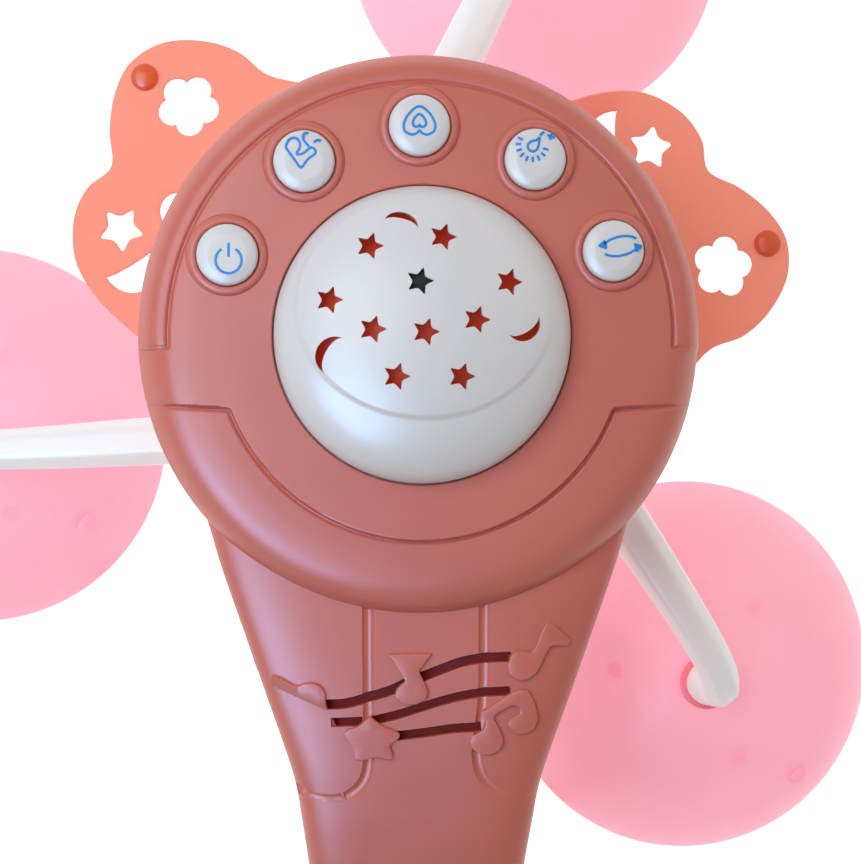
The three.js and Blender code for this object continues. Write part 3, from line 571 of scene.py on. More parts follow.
def face_height(x, y):
    """Height of the head's face: the plate, the rolled band around its top and the lip below it."""
    r = np.hypot(x, y)
    at = lambda profile: np.interp(r, *np.array(curve(profile, 80)).T)
    away = depth_inside(x, y, PLATE_LINE)
    share = smoothstep(away / 0.55 + 0.5)
    rest = np.where(y > (TAB[0] + TAB[1]) / 2, at(BAND_PROFILE), at(LIP_PROFILE))
    height = share * at(PLATE_PROFILE) + (1 - share) * rest
    height -= 0.55 * np.exp(-(((away + 0.55) / 0.42) ** 2)) * smoothstep((67.2 - r) / 2)
    for _, bx, by in button_spots():
        height -= 6 * smoothstep((8.9 - np.hypot(x - bx, y - by)) / 0.6)
    return height


def head_disc():
    """The round part of the top shell: its face, its side and its plain inside."""
    beside_tab = np.arange(-24, 0, 0.25)
    left, right = 180 - beside_tab[::-1], 360 + beside_tab
    turn = np.concatenate([np.arange(0, 180, 0.75), left, np.arange(204.75, 336, 0.75), right])
    turn = np.radians(np.unique(np.round(turn, 4)))
    segments = len(turn)
    coarse, fine = np.arange(35.4, 66.6, 0.62), [np.arange(47.4, 50.2, 0.2), np.arange(57.4, 60.6, 0.2)]
    spread = np.concatenate([coarse, *fine, np.arange(60.6, 66.6, 0.4), (66.8, 67)])
    rings, heights = [], []
    for r in np.unique(np.round(spread, 1)):
        x, y = r * np.cos(turn), r * np.sin(turn)
        rings.append(np.full(segments, r))
        heights.append(face_height(x, y))
    last = heights[-1]
    for share in (0.25, 0.5, 0.75, 1):
        rings.append(np.full(segments, 67 + 0.4 * math.sin(share * math.pi / 2)))
        heights.append(last + (-15.4 - last) * share)
    edge = [(67.4, -SPLIT + 0.9), (67.2, -SPLIT + 0.4), (66.7, -SPLIT + 0.15),
            (HEAD_R - WALL, -SPLIT + 0.15)]
    back = [(HEAD_R - WALL, -15), (62.5, -9), (59, -5.6), (50, -4.2), (38, -3), (35.05, -3), (35.05, -0.6),
            (35.15, -0.2)]
    for r, z in edge + back:
        rings.append(np.full(segments, r))
        heights.append(np.full(segments, float(z)))
    radius, height = np.array(rings), np.array(heights)
    points = np.stack([radius * np.cos(turn), radius * np.sin(turn), height], axis=-1)
    faces = grid(len(rings) + 1, segments, wrap=True)
    whole = len(rings) * segments
    return points.reshape(-1, 3), [[i % whole for i in face] for face in faces]


def collars():
    """The rings that the buttons sit in."""
    profile = [(7.3, -4), (7.3, 0.5), (7.6, 0.9), (8.1, 1.0), (8.8, 0.8), (9.35, 0.15), (9.9, -1.6),
               (9.9, -4)]
    ring = lathe(rounded(profile, 0.25, steps=2), 72)
    return [placed(ring, (x, y, 0)) for _, x, y in button_spots()]


NECK_WIDTHS = [(54.6, -32), (52.6, -40), (50.5, -46.5), (48.1, -54.8), (41.7, -73.4), (37.5, -85.7),
               (30.3, -108), (28.6, -117.6), (26.7, -131), (25.6, -150)]
NECK_TOP = [(-30, -9.6), (-60, -9.6), (-85, -10.8), (-104, -13.8), (-112, -15.7), (-120, -17.8),
            (-134, -22.6), (-146.75, -29.3)]
BEND = (-69.1, 141.8)  # where the shells' joint starts to bend down, and its radius
NECK_SQUARE = 4.5


def split_height(y):
    reach = np.clip((BEND[0] - np.asarray(y, float)) / BEND[1], 0, 0.6)
    return -SPLIT - BEND[1] * (1 - np.sqrt(1 - reach**2))


def neck_rows(count):
    """For each section of the neck: the top point, the joint point and the bottom point, as (y, z)."""
    vertical = np.linspace(-34, -112, count)[:-1]
    tops = np.array(curve(NECK_TOP, 200))
    top_at = lambda y: np.interp(-y, -tops[:, 0], tops[:, 1])
    rows = [((y, top_at(y)), (y, float(split_height(y))), (y, -46.0)) for y in vertical]
    for share in np.linspace(0, 1, count // 2):
        y_top = -112 + share * (-146.75 + 112)
        y_mid = -112 + share * (NECK_END[0] + 112)
        y_low = -112 + share * (-133.25 + 112)
        z_low = -46 - 6.7 * smoothstep(share) * share
        rows.append(((y_top, top_at(y_top)), (y_mid, float(split_height(y_mid))), (y_low, z_low)))
    return rows


def half_width(y):
    widths = np.array(curve(NECK_WIDTHS, 120))
    return np.interp(-np.asarray(y), -widths[:, 1], widths[:, 0])


def half_section(middle, far, wide, columns, draw_in=0.0):
    """A row of points over one half of a neck section, from side to side.

    far is the section's highest or lowest point.
    """
    middle, far = np.asarray(middle), np.asarray(far)
    rise = far - middle
    tall = np.linalg.norm(rise)
    angle = np.linspace(0, math.pi, 600)
    x = (wide - draw_in) * np.sign(np.cos(angle)) * np.abs(np.cos(angle)) ** (2 / NECK_SQUARE)
    up = (tall - draw_in) * np.sin(angle) ** (2 / NECK_SQUARE)
    line = even(np.stack([x, up], axis=1), columns)
    spots = middle + line[:, 1:] * rise / tall
    return np.column_stack([line[:, 0], spots])


def neck_shell(upper):
    """One half of the neck as a thin closed shell."""
    columns = 150
    outer, inner = [], []
    for top, middle, low in neck_rows(90):
        wide = float(half_width(middle[0]))
        far = top if upper else low
        gap = np.array((0, 0.15 if upper else -0.15))
        outer.append(half_section(middle + gap, far, wide, columns))
        inner.append(half_section(middle + gap, far, wide, columns, WALL))
    rows = len(outer)
    outer, inner = np.array(outer), np.array(inner)
    loop = np.concatenate([outer, inner[:, ::-1]], axis=1)
    points = loop.reshape(-1, 3)
    faces = grid(rows, 2 * columns, wrap=True)
    for row in (0, rows - 1):
        start = row * 2 * columns
        for i in range(columns - 1):
            a, b = start + i, start + 2 * columns - 1 - i
            faces.append([a, a + 1, b - 1, b])
    return points, faces


def neck_height(x, y):
    """Height of the neck's upper surface over a point, where its sections stand upright."""
    tops = np.array(curve(NECK_TOP, 200))
    top = np.interp(-np.asarray(y), -tops[:, 0], tops[:, 1])
    middle = split_height(y) + 0.15
    share = np.clip(np.abs(x) / half_width(y), 0, 0.999)
    return middle + (top - middle) * (1 - share**NECK_SQUARE) ** (1 / NECK_SQUARE)


SLOTS = [
    (2.5, [(-22.8, -88.2), (-17.7, -87.9), (-12, -86.3), (-6.9, -84.7), (-3.3, -83)]),
    (2.5, [(-0.5, -81.9), (5.2, -79.7), (10.3, -77.9), (15.4, -77.1), (21.9, -76.8)]),
    (2.3, [(-21.4, -92.6), (-13.8, -92.3)]),
    (2.3, [(-11.6, -92.2), (-5.6, -90.8), (-0.5, -89.2), (4.6, -87.6), (9.7, -86.3), (14.8, -85.5),
           (21.7, -85.1)]),
    (2.4, [(-5.6, -96), (1.4, -95.2), (7.8, -94.3), (14.8, -93.9)]),
]
GROOVES = [
    [(-12.6, -57), (-12.6, -70), (-12.5, -85), (-12.4, -102), (-13.2, -106.5), (-15.4, -109.7),
     (-18.9, -111.6), (-23, -111.8), (-27.2, -110.9), (-30, -109.9)],
    [(15.3, -57), (15.3, -70), (15.1, -88), (14.2, -96), (13.9, -101.5), (14.9, -105.8), (17.3, -108.8),
     (20.4, -110.6), (24.2, -111.6), (27.5, -111.9)],
]
NOTE = [(-7.6, -75.9), (2.8, -75.8), (-0.4, -80.1), (0.6, -82.1), (1.8, -84.8), (1.4, -86.7), (-0.8, -88.2),
        (-3.8, -88.2), (-5.9, -86.6), (-6, -85), (-5.1, -83.7), (-3.6, -82.6), (-4.6, -80.5)]
FLAG_NOTE = [(30.5, -68.5), (32.2, -69.2), (36.2, -73), (35.4, -74.4), (31.6, -74.1), (30.3, -75.7),
             (29.1, -78.6), (27.8, -80.8), (25.9, -82.4), (23.7, -82.6), (21.5, -81.1), (21, -78.9),
             (21.6, -76.4), (23, -75.3), (26.7, -75.8), (27.8, -74.1), (29.4, -69.9)]
CLOUD = [(-35.8, -81.2), (-33.6, -81.6), (-30.7, -83.3), (-29.4, -83.8), (-27.9, -82.9), (-25.6, -82.8),
         (-23.7, -83.7), (-22.7, -85.3), (-22.6, -88.2), (-21.8, -90.2), (-20.7, -92.1), (-19.9, -94.3),
         (-18.3, -95.6), (-19.5, -98.2), (-24, -98.2), (-29.8, -95.6), (-33.6, -89.2), (-36.1, -82.8)]
FAT_STAR = [(-12, -91), (-9.4, -93.2), (-4.8, -95.3), (-5, -96.4), (-7.3, -98.2), (-6.4, -101.1),
            (-6.9, -101.9), (-10.7, -101.1), (-13.6, -101.9), (-15.5, -101.8), (-15.9, -99.2),
            (-18.5, -95.3), (-17.4, -94.3), (-14.8, -93.4)]
BEAMED_NOTES = [(14.3, -90.2), (16.3, -89.2), (21.1, -86), (23.7, -84.7), (26, -85), (27.5, -87.9),
                (28.5, -91.8), (27.5, -94.7), (25.6, -95.8), (23, -95.5), (21.4, -94), (21.3, -92.3),
                (22.7, -91.3), (24.3, -90.5), (23.7, -88.9), (22.4, -88.4), (17.9, -90.8), (17.6, -91.8),
                (19.1, -94.3), (20.2, -97.2), (19.5, -99.4), (17.6, -100.7), (15.1, -100.8), (12.8, -99.5),
                (11.9, -97.6), (12.5, -96), (15.1, -94.7), (15.9, -92.9)]
PICTURE_HEIGHT = 1.05
PICTURE_ROOT = -2.4  # a picture goes on this far under the neck's surface
GROOVE_R = 1.5
GROOVE_LIFT = 0.62  # height of the round cutter's axis over the neck's surface


def neck_pictures():
    """The raised cloud, star and notes at the ends of the speaker slots. The cloud sinks away to the left."""
    made = []
    for line, soft in ((NOTE, 0.35), (FLAG_NOTE, 0.4), (CLOUD, 0.7), (FAT_STAR, 0.5), (BEAMED_NOTES, 0.6)):
        outline = even(rounded(line, soft), 100, closed=True)
        sink = 2.3 if line is CLOUD else 0
        share = lambda x, y: smoothstep((-0.45 * x - y - 96.5) / 7)
        raised = lambda x, y: neck_height(x, y) + PICTURE_HEIGHT - sink * share(x, y)
        sunk = lambda x, y: neck_height(x, y) + PICTURE_ROOT
        made.append(plate(outline, [], sunk, raised, 0.3, spacing=2.2))
    return made


def neck_cuts():
    """The tools that cut the speaker slots and the two grooves."""
    tools = []
    for width, line in SLOTS:
        tools.append(plate(ribbon_line(line, width), [], -30, 0, 0.02))
    for line in GROOVES:
        path = curve(line, 90)
        run_out = 1.1 * smoothstep((np.arange(90) - 66) / 22)
        spine = np.column_stack([path, neck_height(path[:, 0], path[:, 1]) + GROOVE_LIFT + run_out])
        tools.append(swept(spine, [(GROOVE_R, GROOVE_R)] * len(spine), 2, (0.9, 0.3, 0.1), 20))
    return tools


def shade_under_slots():
    """A dark red sheet close under the speaker slots: painted shade seen down them."""
    outline = rounded([(-30, -99), (25, -99), (30, -72), (-26, -80)], 3)
    over = lambda x, y: neck_height(x, y) - 3.4
    under = lambda x, y: neck_height(x, y) - 4.4
    sheet = plate(even(outline, 90, closed=True), [], under, over, 0.2, spacing=3)
    piece("slot_shade_sheet", sheet, "frame", "rose_housing", look=SLOT_SHADE)


def head_top():
    tools = neck_cuts()
    neck = carved(neck_shell(True), *tools)
    piece("head_face", joined(head_disc(), *collars()), "frame", "rose_housing", ["head_top_shell"])
    piece("neck_top", joined(neck, *neck_pictures()), "frame", "rose_housing", ["head_top_shell"])


SCREW_CIRCLE = 48
SCREW_ANGLES = (40.25, 139.75, 235, 305)


def head_bottom():
    """The bottom shell, with the battery bay and the screws' recesses cut out."""
    side = HEAD_R - WALL
    profile = [(side, -SPLIT - 0.15), (67, -SPLIT - 0.15), (HEAD_R, -SPLIT - 0.7), (HEAD_R, -29),
               (66.9, -33.4), (65.3, -37.5), (63, -41), (60, -43.4), (55.6, -45.2), (50, -46), (30, -46),
               (9.4, -46), (9.2, -45.4), (6.4, -45.4), (6.3, -43), (9, -42.4), (10, -43.5), (48, -43.5),
               (57.6, -41.4), (62.4, -36.4), (side, -29)]
    disc = lathe(profile, 220)
    bay = plate(rounded([(-24, -113.5), (24, -113.5), (24, -60.5), (-24, -60.5)], 1.2), [], -52, -38, 0.02)
    post = lathe([(0, -47), (3.3, -47), (3.3, -44.6), (0, -44.6)], 32)
    posts = [placed(post, (*around(SCREW_CIRCLE, angle), 0)) for angle in SCREW_ANGLES]
    shape = joined(carved(disc, bay, *posts), carved(neck_shell(False), bay))
    piece("head_bottom", shape, "frame", "rose_housing", ["head_bottom_shell"])


def battery_cover():
    outline = rounded([(-23.7, -113.2), (23.7, -113.2), (23.7, -60.8), (-23.7, -60.8)], 1.4)
    hole = arc((0, -108), 3.4, 0, 345, 24)
    cover = plate(outline, [hole], -46, -44, 0.35)
    piece("battery_door", cover, "frame", "rose_housing", ["battery_cover"])


# ---- Night light ----
STARS = [(-12.6, 19.9), (4.1, 22), (-1.3, 11.8), (19.2, 11.8), (-21.8, 7.6), (-12, 0.9), (0, 0.3),
         (11.6, 3.1), (-6.6, -9.8), (8.2, -9.8)]
# each moon's x, y, turn in degrees, length, bulge of its back and depth of its hollow
MOONS = [(-5.4, 24.9, 75, 7.7, 2.9, 1.4), (22.5, 2.1, -58, 8.2, 3.8, 1.9), (-20.6, -5.2, 152, 9, 4.4, 2.2)]
DARK_STAR = 2
CREASE = (0.3, 6.4, 29.9, 25.7)  # centre and half axes of the step moulded into the dome
DOME_TOP = 16.9


def dome_height(x, y):
    """The dome's outer surface: a shallow cap with a stepped oval in it."""
    r = np.clip(np.hypot(x, y) / DOME_R, 0, 1)
    height = 0.6 + (DOME_TOP - 0.6) * np.sqrt(1 - r**2) ** 0.92
    ring = np.hypot((x - CREASE[0]) / CREASE[2], (y - CREASE[1]) / CREASE[3])
    away = (ring - 1) * 27
    side = smoothstep(0.62 - 0.62 * (0.55 * x + 0.83 * (y - 4)) / 30)
    step = smoothstep(away / 1.5 + 0.5) * np.exp(-np.clip(away, 0, 40) / 9) * side
    return height - 0.95 * step


def dome():
    segments = 360
    turn = np.linspace(0, 2 * math.pi, segments, endpoint=False)
    radii = np.concatenate([np.linspace(0.4, 31.5, 92),
                            DOME_R * np.sin(np.radians(np.linspace(67, 90, 16)))])
    rings = []
    for r in radii:
        x, y = r * np.cos(turn), r * np.sin(turn)
        rings.append(np.column_stack([x, y, dome_height(x, y)]))
    for r, z in ((DOME_R, -2.6), (37, -2.75), (37, -4.1), (32.8, -4.1), (32.8, -1)):
        rings.append(np.column_stack([r * np.cos(turn), r * np.sin(turn), np.full(segments, float(z))]))
    for a in np.linspace(8, 88, 20):
        r = 32.8 * math.cos(math.radians(a))
        x, y = r * np.cos(turn), r * np.sin(turn)
        level = -1 + 15.2 * math.sin(math.radians(a)) ** 0.94
        rings.append(np.column_stack([x, y, np.full(segments, level)]))
    body = tube(rings)
    tools = [plate(star_line(x, y, 3.4, 1.6, 0 if i != DARK_STAR else 2, 0.5), [], -2, 30, 0.02)
             for i, (x, y) in enumerate(STARS)]
    tools += [plate(crescent_line(x, y, size, back, hollow, turn), [], -2, 30, 0.02)
              for x, y, turn, size, back, hollow in MOONS]
    piece("night_light_dome", carved(body, *tools), "frame", "white_plastic", ["projector_dome"], crease=40)


def light_inside():
    angles = np.radians(np.linspace(4, 90, 20))
    outer = [(30.2 * math.cos(a), -2 + 12.6 * math.sin(a)) for a in angles]
    inner = [(28.8 * math.cos(a), -2.4 + 11.4 * math.sin(a)) for a in angles[::-1]]
    outer[-1], inner[0] = (0, outer[-1][1]), (0, inner[0][1])
    profile = inner + [(28.8, -10.4), (30.2, -10.4)] + outer
    piece("colour_filter", lathe(profile, 96), "frame", "light_filter", ["light_filter"])
    x, y = STARS[DARK_STAR]
    window = lathe(rounded([(0, 11.2), (3.9, 11.0), (3.9, 12.6), (0, 13)], 0.3, closed=False), 48)
    piece("dark_window", placed(window, (x, y, 0)), "frame", "black_plastic", look=DARK_WINDOW)


# ---- Buttons ----
MELODY_LOOP = [(-0.7, -2), (-4.3, 3), (-3.5, 4.9), (-1.9, 5.3), (-0.9, 4.2), (-0.9, 2.8), (-2, 1.3),
               (-0.5, 1.3), (1.6, 3), (2.3, 2.8), (2.9, 1.7), (0.9, 0.3)]
HEART = [(0, 1), (0.62, 0.55), (1, -0.2), (0.95, -0.72), (0.52, -0.98), (0.14, -0.86), (0, -0.66),
         (-0.14, -0.86), (-0.52, -0.98), (-0.95, -0.72), (-1, -0.2), (-0.62, 0.55)]


def button_height(x, y):
    r = np.hypot(x, y)
    return 3.4 - 0.55 * smoothstep((r - 4.2) / 2.9) * (r / 7) ** 2


def heart_lines(x, y, width, height):
    points = np.array(HEART) * (width / 2, height / 2) + (x, y)
    return even(curve(points, 90, closed=True), 60, closed=True)


def arrow_head(tip, turn, size):
    c, s = math.cos(math.radians(turn)), math.sin(math.radians(turn))
    place = lambda u, v: (tip[0] + u * c - v * s, tip[1] + u * s + v * c)
    return even([place(0, 0), place(-size, size * 0.55), place(-size, -size * 0.55)], 24, closed=True)


def icon(name):
    """The printed lines on a button, as (points, closed)."""
    if name == "power":
        ring = arc((0.4, -1.4), 3.0, -238, 58, 60)
        return [(ring, False), (even([(0.4, -0.6), (0.4, 2.6)], 8), False)]
    if name == "melody":
        loop = even(rounded(MELODY_LOOP, 0.7), 120, closed=True)
        hook = curve([(1.2, 3.1), (-0.1, 4.8), (0, 6.1), (1, 6.4)], 24)
        tail = curve([(2.3, 4), (2.9, 4.6), (3.9, 4.6)], 14)
        return [(loop, True), (hook, False), (tail, False)]
    if name == "heart":
        return [(heart_lines(-0.1, 0.9, 7.2, 6.6), True), (heart_lines(-0.1, 0.9, 3.0, 3.0), True)]
    if name == "light":
        drop = [(0.9, 5.1), (0.3, 4.3), (-1.4, 3.9), (-2.1, 2.9), (-1.7, 1.9), (-0.7, 1.5), (0.3, 2.1),
                (0.6, 3.1)]
        lines = [(even(rounded(drop, 0.5), 50, closed=True), True)]
        for turn in np.linspace(150, 345, 9):
            c, s = math.cos(math.radians(turn)), math.sin(math.radians(turn))
            lines.append((even([(-0.9 + 2.6 * c, 3 + 2.6 * s), (-0.9 + 3.9 * c, 3 + 3.9 * s)], 5), False))
        for a, b in (((0.9, 5.4), (1.9, 6.3)), ((2.6, 5.5), (4.4, 4.9)), ((3.2, 4.4), (3.8, 6))):
            lines.append((even([a, b], 6), False))
        return lines
    lines = []
    for start, end, turn in ((25, 155, 205), (205, 335, 25)):
        flat = arc((0, 0), 1, start, end, 40) * (4.4, 2.2)
        tilt = math.radians(13)
        c, s = math.cos(tilt), math.sin(tilt)
        spun = flat @ np.array(((c, s), (-s, c))) + (1.4, 1.0)
        lines.append((spun, False))
        lines.append((arrow_head(spun[-1] + (-0.9 if turn > 90 else 0.9, 0), turn - 12, 1.5), True))
    return lines


def buttons():
    cap = [(0, -8.4), (3, -8.4), (3, -6.6), (8, -6.6), (8, -5.5), (7.15, -5.5), (7.15, 1.5), (7.08, 1.9),
           (6.84, 2.35), (6.4, 2.68), (5.6, 2.98)]
    rest = [(r, float(button_height(r, 0))) for r in (4.8, 4.2, 3.4, 2.2, 1)]
    profile = rounded(cap, 0.12, closed=False, steps=1).tolist() + rest + [(0, 3.4)]
    raised = lambda x, y: button_height(x, y) + 0.02
    push_cap = lathe(profile, 96)
    for name, x, y in button_spots():
        body = "button_" + name
        piece(name + "_button", placed(push_cap, (x, y, 0)), body, "white_plastic", [body])
        lines = [wire(line, 0.3, 0.07, closed, raised) for line, closed in icon(name)]
        piece(name + "_print", placed(joined(*lines), (x, y, 0)), body, "white_plastic", look=BLUE_INK)


# ---- Rotor ----
ARM_PATH = [(22, 19, -72), (40, 16.5, -71.8), (60, 13.6, -72), (80, 10.6, -72.8), (100, 7.7, -74.4),
            (113, 5.6, -76.2), (121, 3.9, -78), (127, 1.9, -80.8), (129.4, 0.7, -85), (128, 0, -89.6)]
ARM_SECTION = [(1, -0.45), (1, 0.1), (0.52, 1), (-0.52, 1), (-1, 0.1), (-1, -0.45), (-0.6, -1), (0.6, -1)]


def arms():
    """The three canopy arms: a flat face between two bevels."""
    path = curve(ARM_PATH, 90)
    share = np.linspace(0, 1, len(path))
    halves = np.column_stack([6.6 - 0.4 * share - 1.0 * smoothstep((share - 0.4) / 0.5), 4.6 - 0.7 * share])
    tube_shape = swept(path, halves, rounded(ARM_SECTION, 0.3, steps=5), (0, 1, 0.15))
    peg = [(0, -107.6), (3, -107.6), (3.4, -107.2), (3.4, -97.4), (3.4, CANOPY_TOP + 0.5),
           (5.5, CANOPY_TOP + 0.4), (6.1, -95.9), (6.1, -93.4), (5.5, -91.2), (4.6, -88.6), (3.6, -87),
           (0, -86.4)]
    foot = placed(lathe(peg, 56), (CANOPY_CIRCLE, 0, 0))
    for i in range(3):
        shape = placed(joined(tube_shape, foot), turn=ARM_ANGLE + i * THIRD)
        piece(f"canopy_arm_{i + 1}", shape, "rotor", "arm_plastic", [f"arm_{i + 1}"])


LEAF_OUTLINE = [(90.4, 0), (95.6, -8.2), (99.3, -17.3), (99.9, -26), (95.4, -34.6), (86.6, -40.4),
                (77, -42.6), (67.5, -41.2), (60, -43.2), (52, -46.5), (42, -38), (30, -22), (12, -9),
                (12, 9), (30, 18), (44, 29), (56, 35), (66.6, 33.9), (78.2, 30.7), (86.5, 25.4), (92.2, 16),
                (93, 7.6)]
LEAF_ANCHOR = (94.5, -24.6)


def leaf_height(x, y):
    return LEAF_Z + np.interp(np.hypot(x, y), [9, 28, 58, 106], [0, -0.2, -1.8, -8.4])


def leaves():
    outline = curve(LEAF_OUTLINE, 260, closed=True)
    holes = [
        flower_line(81, -24, 7.0, 1.05, 52),
        star_line(79.9, 12.7, 6.2, 3.3, 52, 1.2),
        crescent_line(73.6, 19.2, 14.2, 8, 0.8, 150.6, 16),
        arc((69.4, 1.2), 4.7, 0, 350, 40),
    ]
    below = lambda x, y: leaf_height(x, y) - 1.6
    sheet = plate(outline, holes, below, leaf_height, 0.55, spacing=5)
    knob = [(0, -68), (2.2, -68), (2.5, -67.7), (3.4, -62.2), (3.5, -60.6), (3.1, -59.9), (2.2, -59.4),
            (0, -59.2)]
    for i in range(3):
        turn = LEAF_ANGLE + i * THIRD
        piece(f"leaf_plate_{i + 1}", placed(sheet, turn=turn), "rotor", "leaf_plastic", [f"leaf_{i + 1}"])
        anchor = placed(placed(lathe(knob, 40), (*LEAF_ANCHOR, 0.0)), turn=turn)
        piece(f"leaf_knob_{i + 1}", anchor, "rotor", "leaf_plastic", look=ORANGE_KNOB)


def hub():
    core = [(3.3, -79.6), (25.4, -79.6), (26.4, -79.2), (27, -78.2), (27, -68), (27.4, -66), (29.6, -61),
            (30, -59.6), (30, -57.2), (29.4, -56.5), (28.4, -56.3), (9.6, -56.3), (9, -56), (9, -50.6),
            (8.6, -50.1), (3.3, -50)]
    shapes = [lathe(core, 120)]
    for i in range(3):
        turn = ARM_ANGLE + i * THIRD
        line = curve(ARM_PATH, 90)[:18]
        outer = swept(line[:14], [(8.6, 6.6)] * 14, 4.0, (0, 1, 0.15), 40)
        bore = swept(line, [(6.5, 4.9)] * 18, 3.0, (0, 1, 0.15), 32)
        shapes.append(placed(carved(outer, bore), turn=turn))
    piece("hub_body", joined(*shapes), "rotor", "white_plastic", ["rotor_hub"])
    ring = [(9.4, -54.1), (28.6, -54.1), (29, -53.6), (28.7, -52.6), (27.8, -51.9), (26.6, -51.6),
            (10, -51.6), (9.4, -52)]
    piece("leaf_ring", lathe(ring, 120), "rotor", "white_plastic", ["leaf_clamp_ring"])
    nut = [(0, -87.4), (6.4, -87.4), (8.4, -87), (9.8, -85.8), (10.5, -84.4), (10.5, -80.4), (10.2, -80.1),
           (0, -80)]
    piece("rotor_nut", lathe(nut, 96), "rotor", "white_plastic", ["hub_nut"])


ANCHOR_CIRCLE = 25
ANCHOR_TURNS = (54, -55.5, 63)
GATE_CIRCLE = 41  # where the mould's gate left a nub on a canopy
GATE_TURN = -99  # degrees from a canopy's first string peg to its nub
GATE_SINK = -0.65
CANOPY_STEPS = (12.5, 20.2, 28.2, 33.8)  # radii of the faint steps moulded into a canopy


def canopy_rise(r, radius, sphere):
    return np.sqrt(np.maximum(radius**2 - np.square(r), 0)) - sphere


def canopies():
    """The translucent umbrellas: faint steps, three string pegs, a gate nub and a rolled rim."""
    wall = 1.8
    sphere = (CANOPY_R**2 + CANOPY_DEPTH**2) / (2 * CANOPY_DEPTH)
    near_steps = [r + more for r in CANOPY_STEPS for more in (0, 0.4, 0.8, 1.2)]
    radii = np.unique(np.round(np.concatenate([[4, 4.6], np.arange(7, 54, 1.5), near_steps, [54.2]]), 2))
    drop = sum(0.14 * smoothstep((radii - r) / 1.2) for r in CANOPY_STEPS)
    top = CANOPY_TOP + canopy_rise(radii, sphere, sphere) + 0.28 - drop
    outer = list(zip(radii, top))
    rim = [(54.8, -136.4), (55, -137.4), (55, -138.2), (54.7, -138.7), (54, -138.8), (53.4, -138.5),
           (53.1, -137.6)]
    lower = np.concatenate([np.linspace(52.2, 16, 24), [10, 4]])
    inner = list(zip(lower, CANOPY_TOP + canopy_rise(lower, sphere - wall, sphere) - 0.3))
    bowl = lathe(outer + rim + inner, 180)
    peg = lathe([(0, -5.5), (1.8, -5.5), (2.1, -5.1), (2.1, -1.4), (1.8, -0.9), (0, -0.8)], 24)
    gate = lathe([(0, -1), (3.2, -1), (3.2, -0.2), (2.6, 0.35), (1.6, 0.8), (0.8, 0.95), (0, 1)], 32)
    collar = lathe([(4, -97.6), (7.5, -97.6), (7.7, -97.2), (7.6, -96.9), (7, -96.7), (4, -96.7)], 64)
    cap = lathe([(0, -107.9), (3.7, -107.9), (3.7, -101.2), (7.6, -101.2), (8, -101.7), (8, -105.2),
                 (7.6, -106), (5.4, -108.6), (4.8, -109), (0, -109)], 64)

    def on_bowl(radius, turn, lift):
        return *around(radius, turn), CANOPY_TOP + float(canopy_rise(radius, sphere, sphere)) + lift

    for i in range(3):
        turn = ANCHOR_TURNS[i]
        shapes = [bowl] + [placed(peg, on_bowl(ANCHOR_CIRCLE, turn + k * THIRD, 0)) for k in range(3)]
        shapes.append(placed(gate, on_bowl(GATE_CIRCLE, turn + GATE_TURN, GATE_SINK)))
        centre = (*around(CANOPY_CIRCLE, ARM_ANGLE + i * THIRD), 0)
        body = f"canopy_{i + 1}"
        # A thin ring round the arm's foot; its glowing pink is painted shade where the arm meets the canopy.
        piece(f"canopy_shade_ring_{i + 1}", placed(collar, centre), body, "canopy_plastic", look=PAINTED_PINK_SHADE)
        piece(f"canopy_bowl_{i + 1}", placed(joined(*shapes), centre), body, "canopy_plastic", [body])
        piece(f"canopy_nut_{i + 1}", placed(cap, centre), "rotor", "white_plastic", [f"canopy_cap_{i + 1}"])


# ---- Arch, pole and clamp ----
ARCH_RUN = NECK_END[0] - POLE_Y
ARCH_RADIUS = ARCH_RUN / (1 - math.sin(NECK_SLOPE))
ARCH_END_Z = NECK_END[1] - ARCH_RADIUS * math.cos(NECK_SLOPE)
COLLAR_Z = RAIL_Z + 150


def arch_path(start, end, count):
    slope = NECK_SLOPE + np.linspace(start, end, count) * (math.pi / 2 - NECK_SLOPE)
    y = NECK_END[0] - ARCH_RADIUS * (np.sin(slope) - math.sin(NECK_SLOPE))
    z = NECK_END[1] - ARCH_RADIUS * (math.cos(NECK_SLOPE) - np.cos(slope))
    return np.column_stack([np.zeros(count), y, z])


def stand():
    share = np.linspace(0, 1, 60)
    halves = np.column_stack([25.9 - 8.9 * share, 13.4 - 1.4 * share])
    arch = swept(arch_path(0.004, 1, 60), halves, 3.0, (1, 0, 0), 64)
    spigot = swept(arch_path(-0.085, 0.03, 8), [(17.6, 8.6)] * 8, 4, (1, 0, 0), 40)
    piece("arch", joined(arch, spigot), "frame", "rose_housing", ["arch_arm"])

    def upright(bottom, top, grow=0.0):
        path = [(0, POLE_Y, z) for z in np.linspace(top, bottom, 12)]
        return swept(path, [(POLE_HALF[0] + grow, POLE_HALF[1] + grow)] * 12, 2.15, (1, 0, 0), 64)

    piece("upper_pole", upright(COLLAR_Z + 0.3, ARCH_END_Z - 0.3), "frame", "rose_housing", ["pole_upper"])
    piece("lower_pole", upright(RAIL_Z + 40, COLLAR_Z), "frame", "rose_housing", ["pole_lower"])
    loop = oval(96, 2.15)
    outer = loop * (POLE_HALF[0] + 3.4, POLE_HALF[1] + 3.4)
    bore = (loop * (POLE_HALF[0] + 0.3, POLE_HALF[1] + 0.3))[::-1]
    band = plate(outer, [bore], COLLAR_Z - 14, COLLAR_Z + 14, 1.2)
    piece("collar", placed(band, (0, POLE_Y, 0)), "frame", "white_plastic", ["pole_collar"])


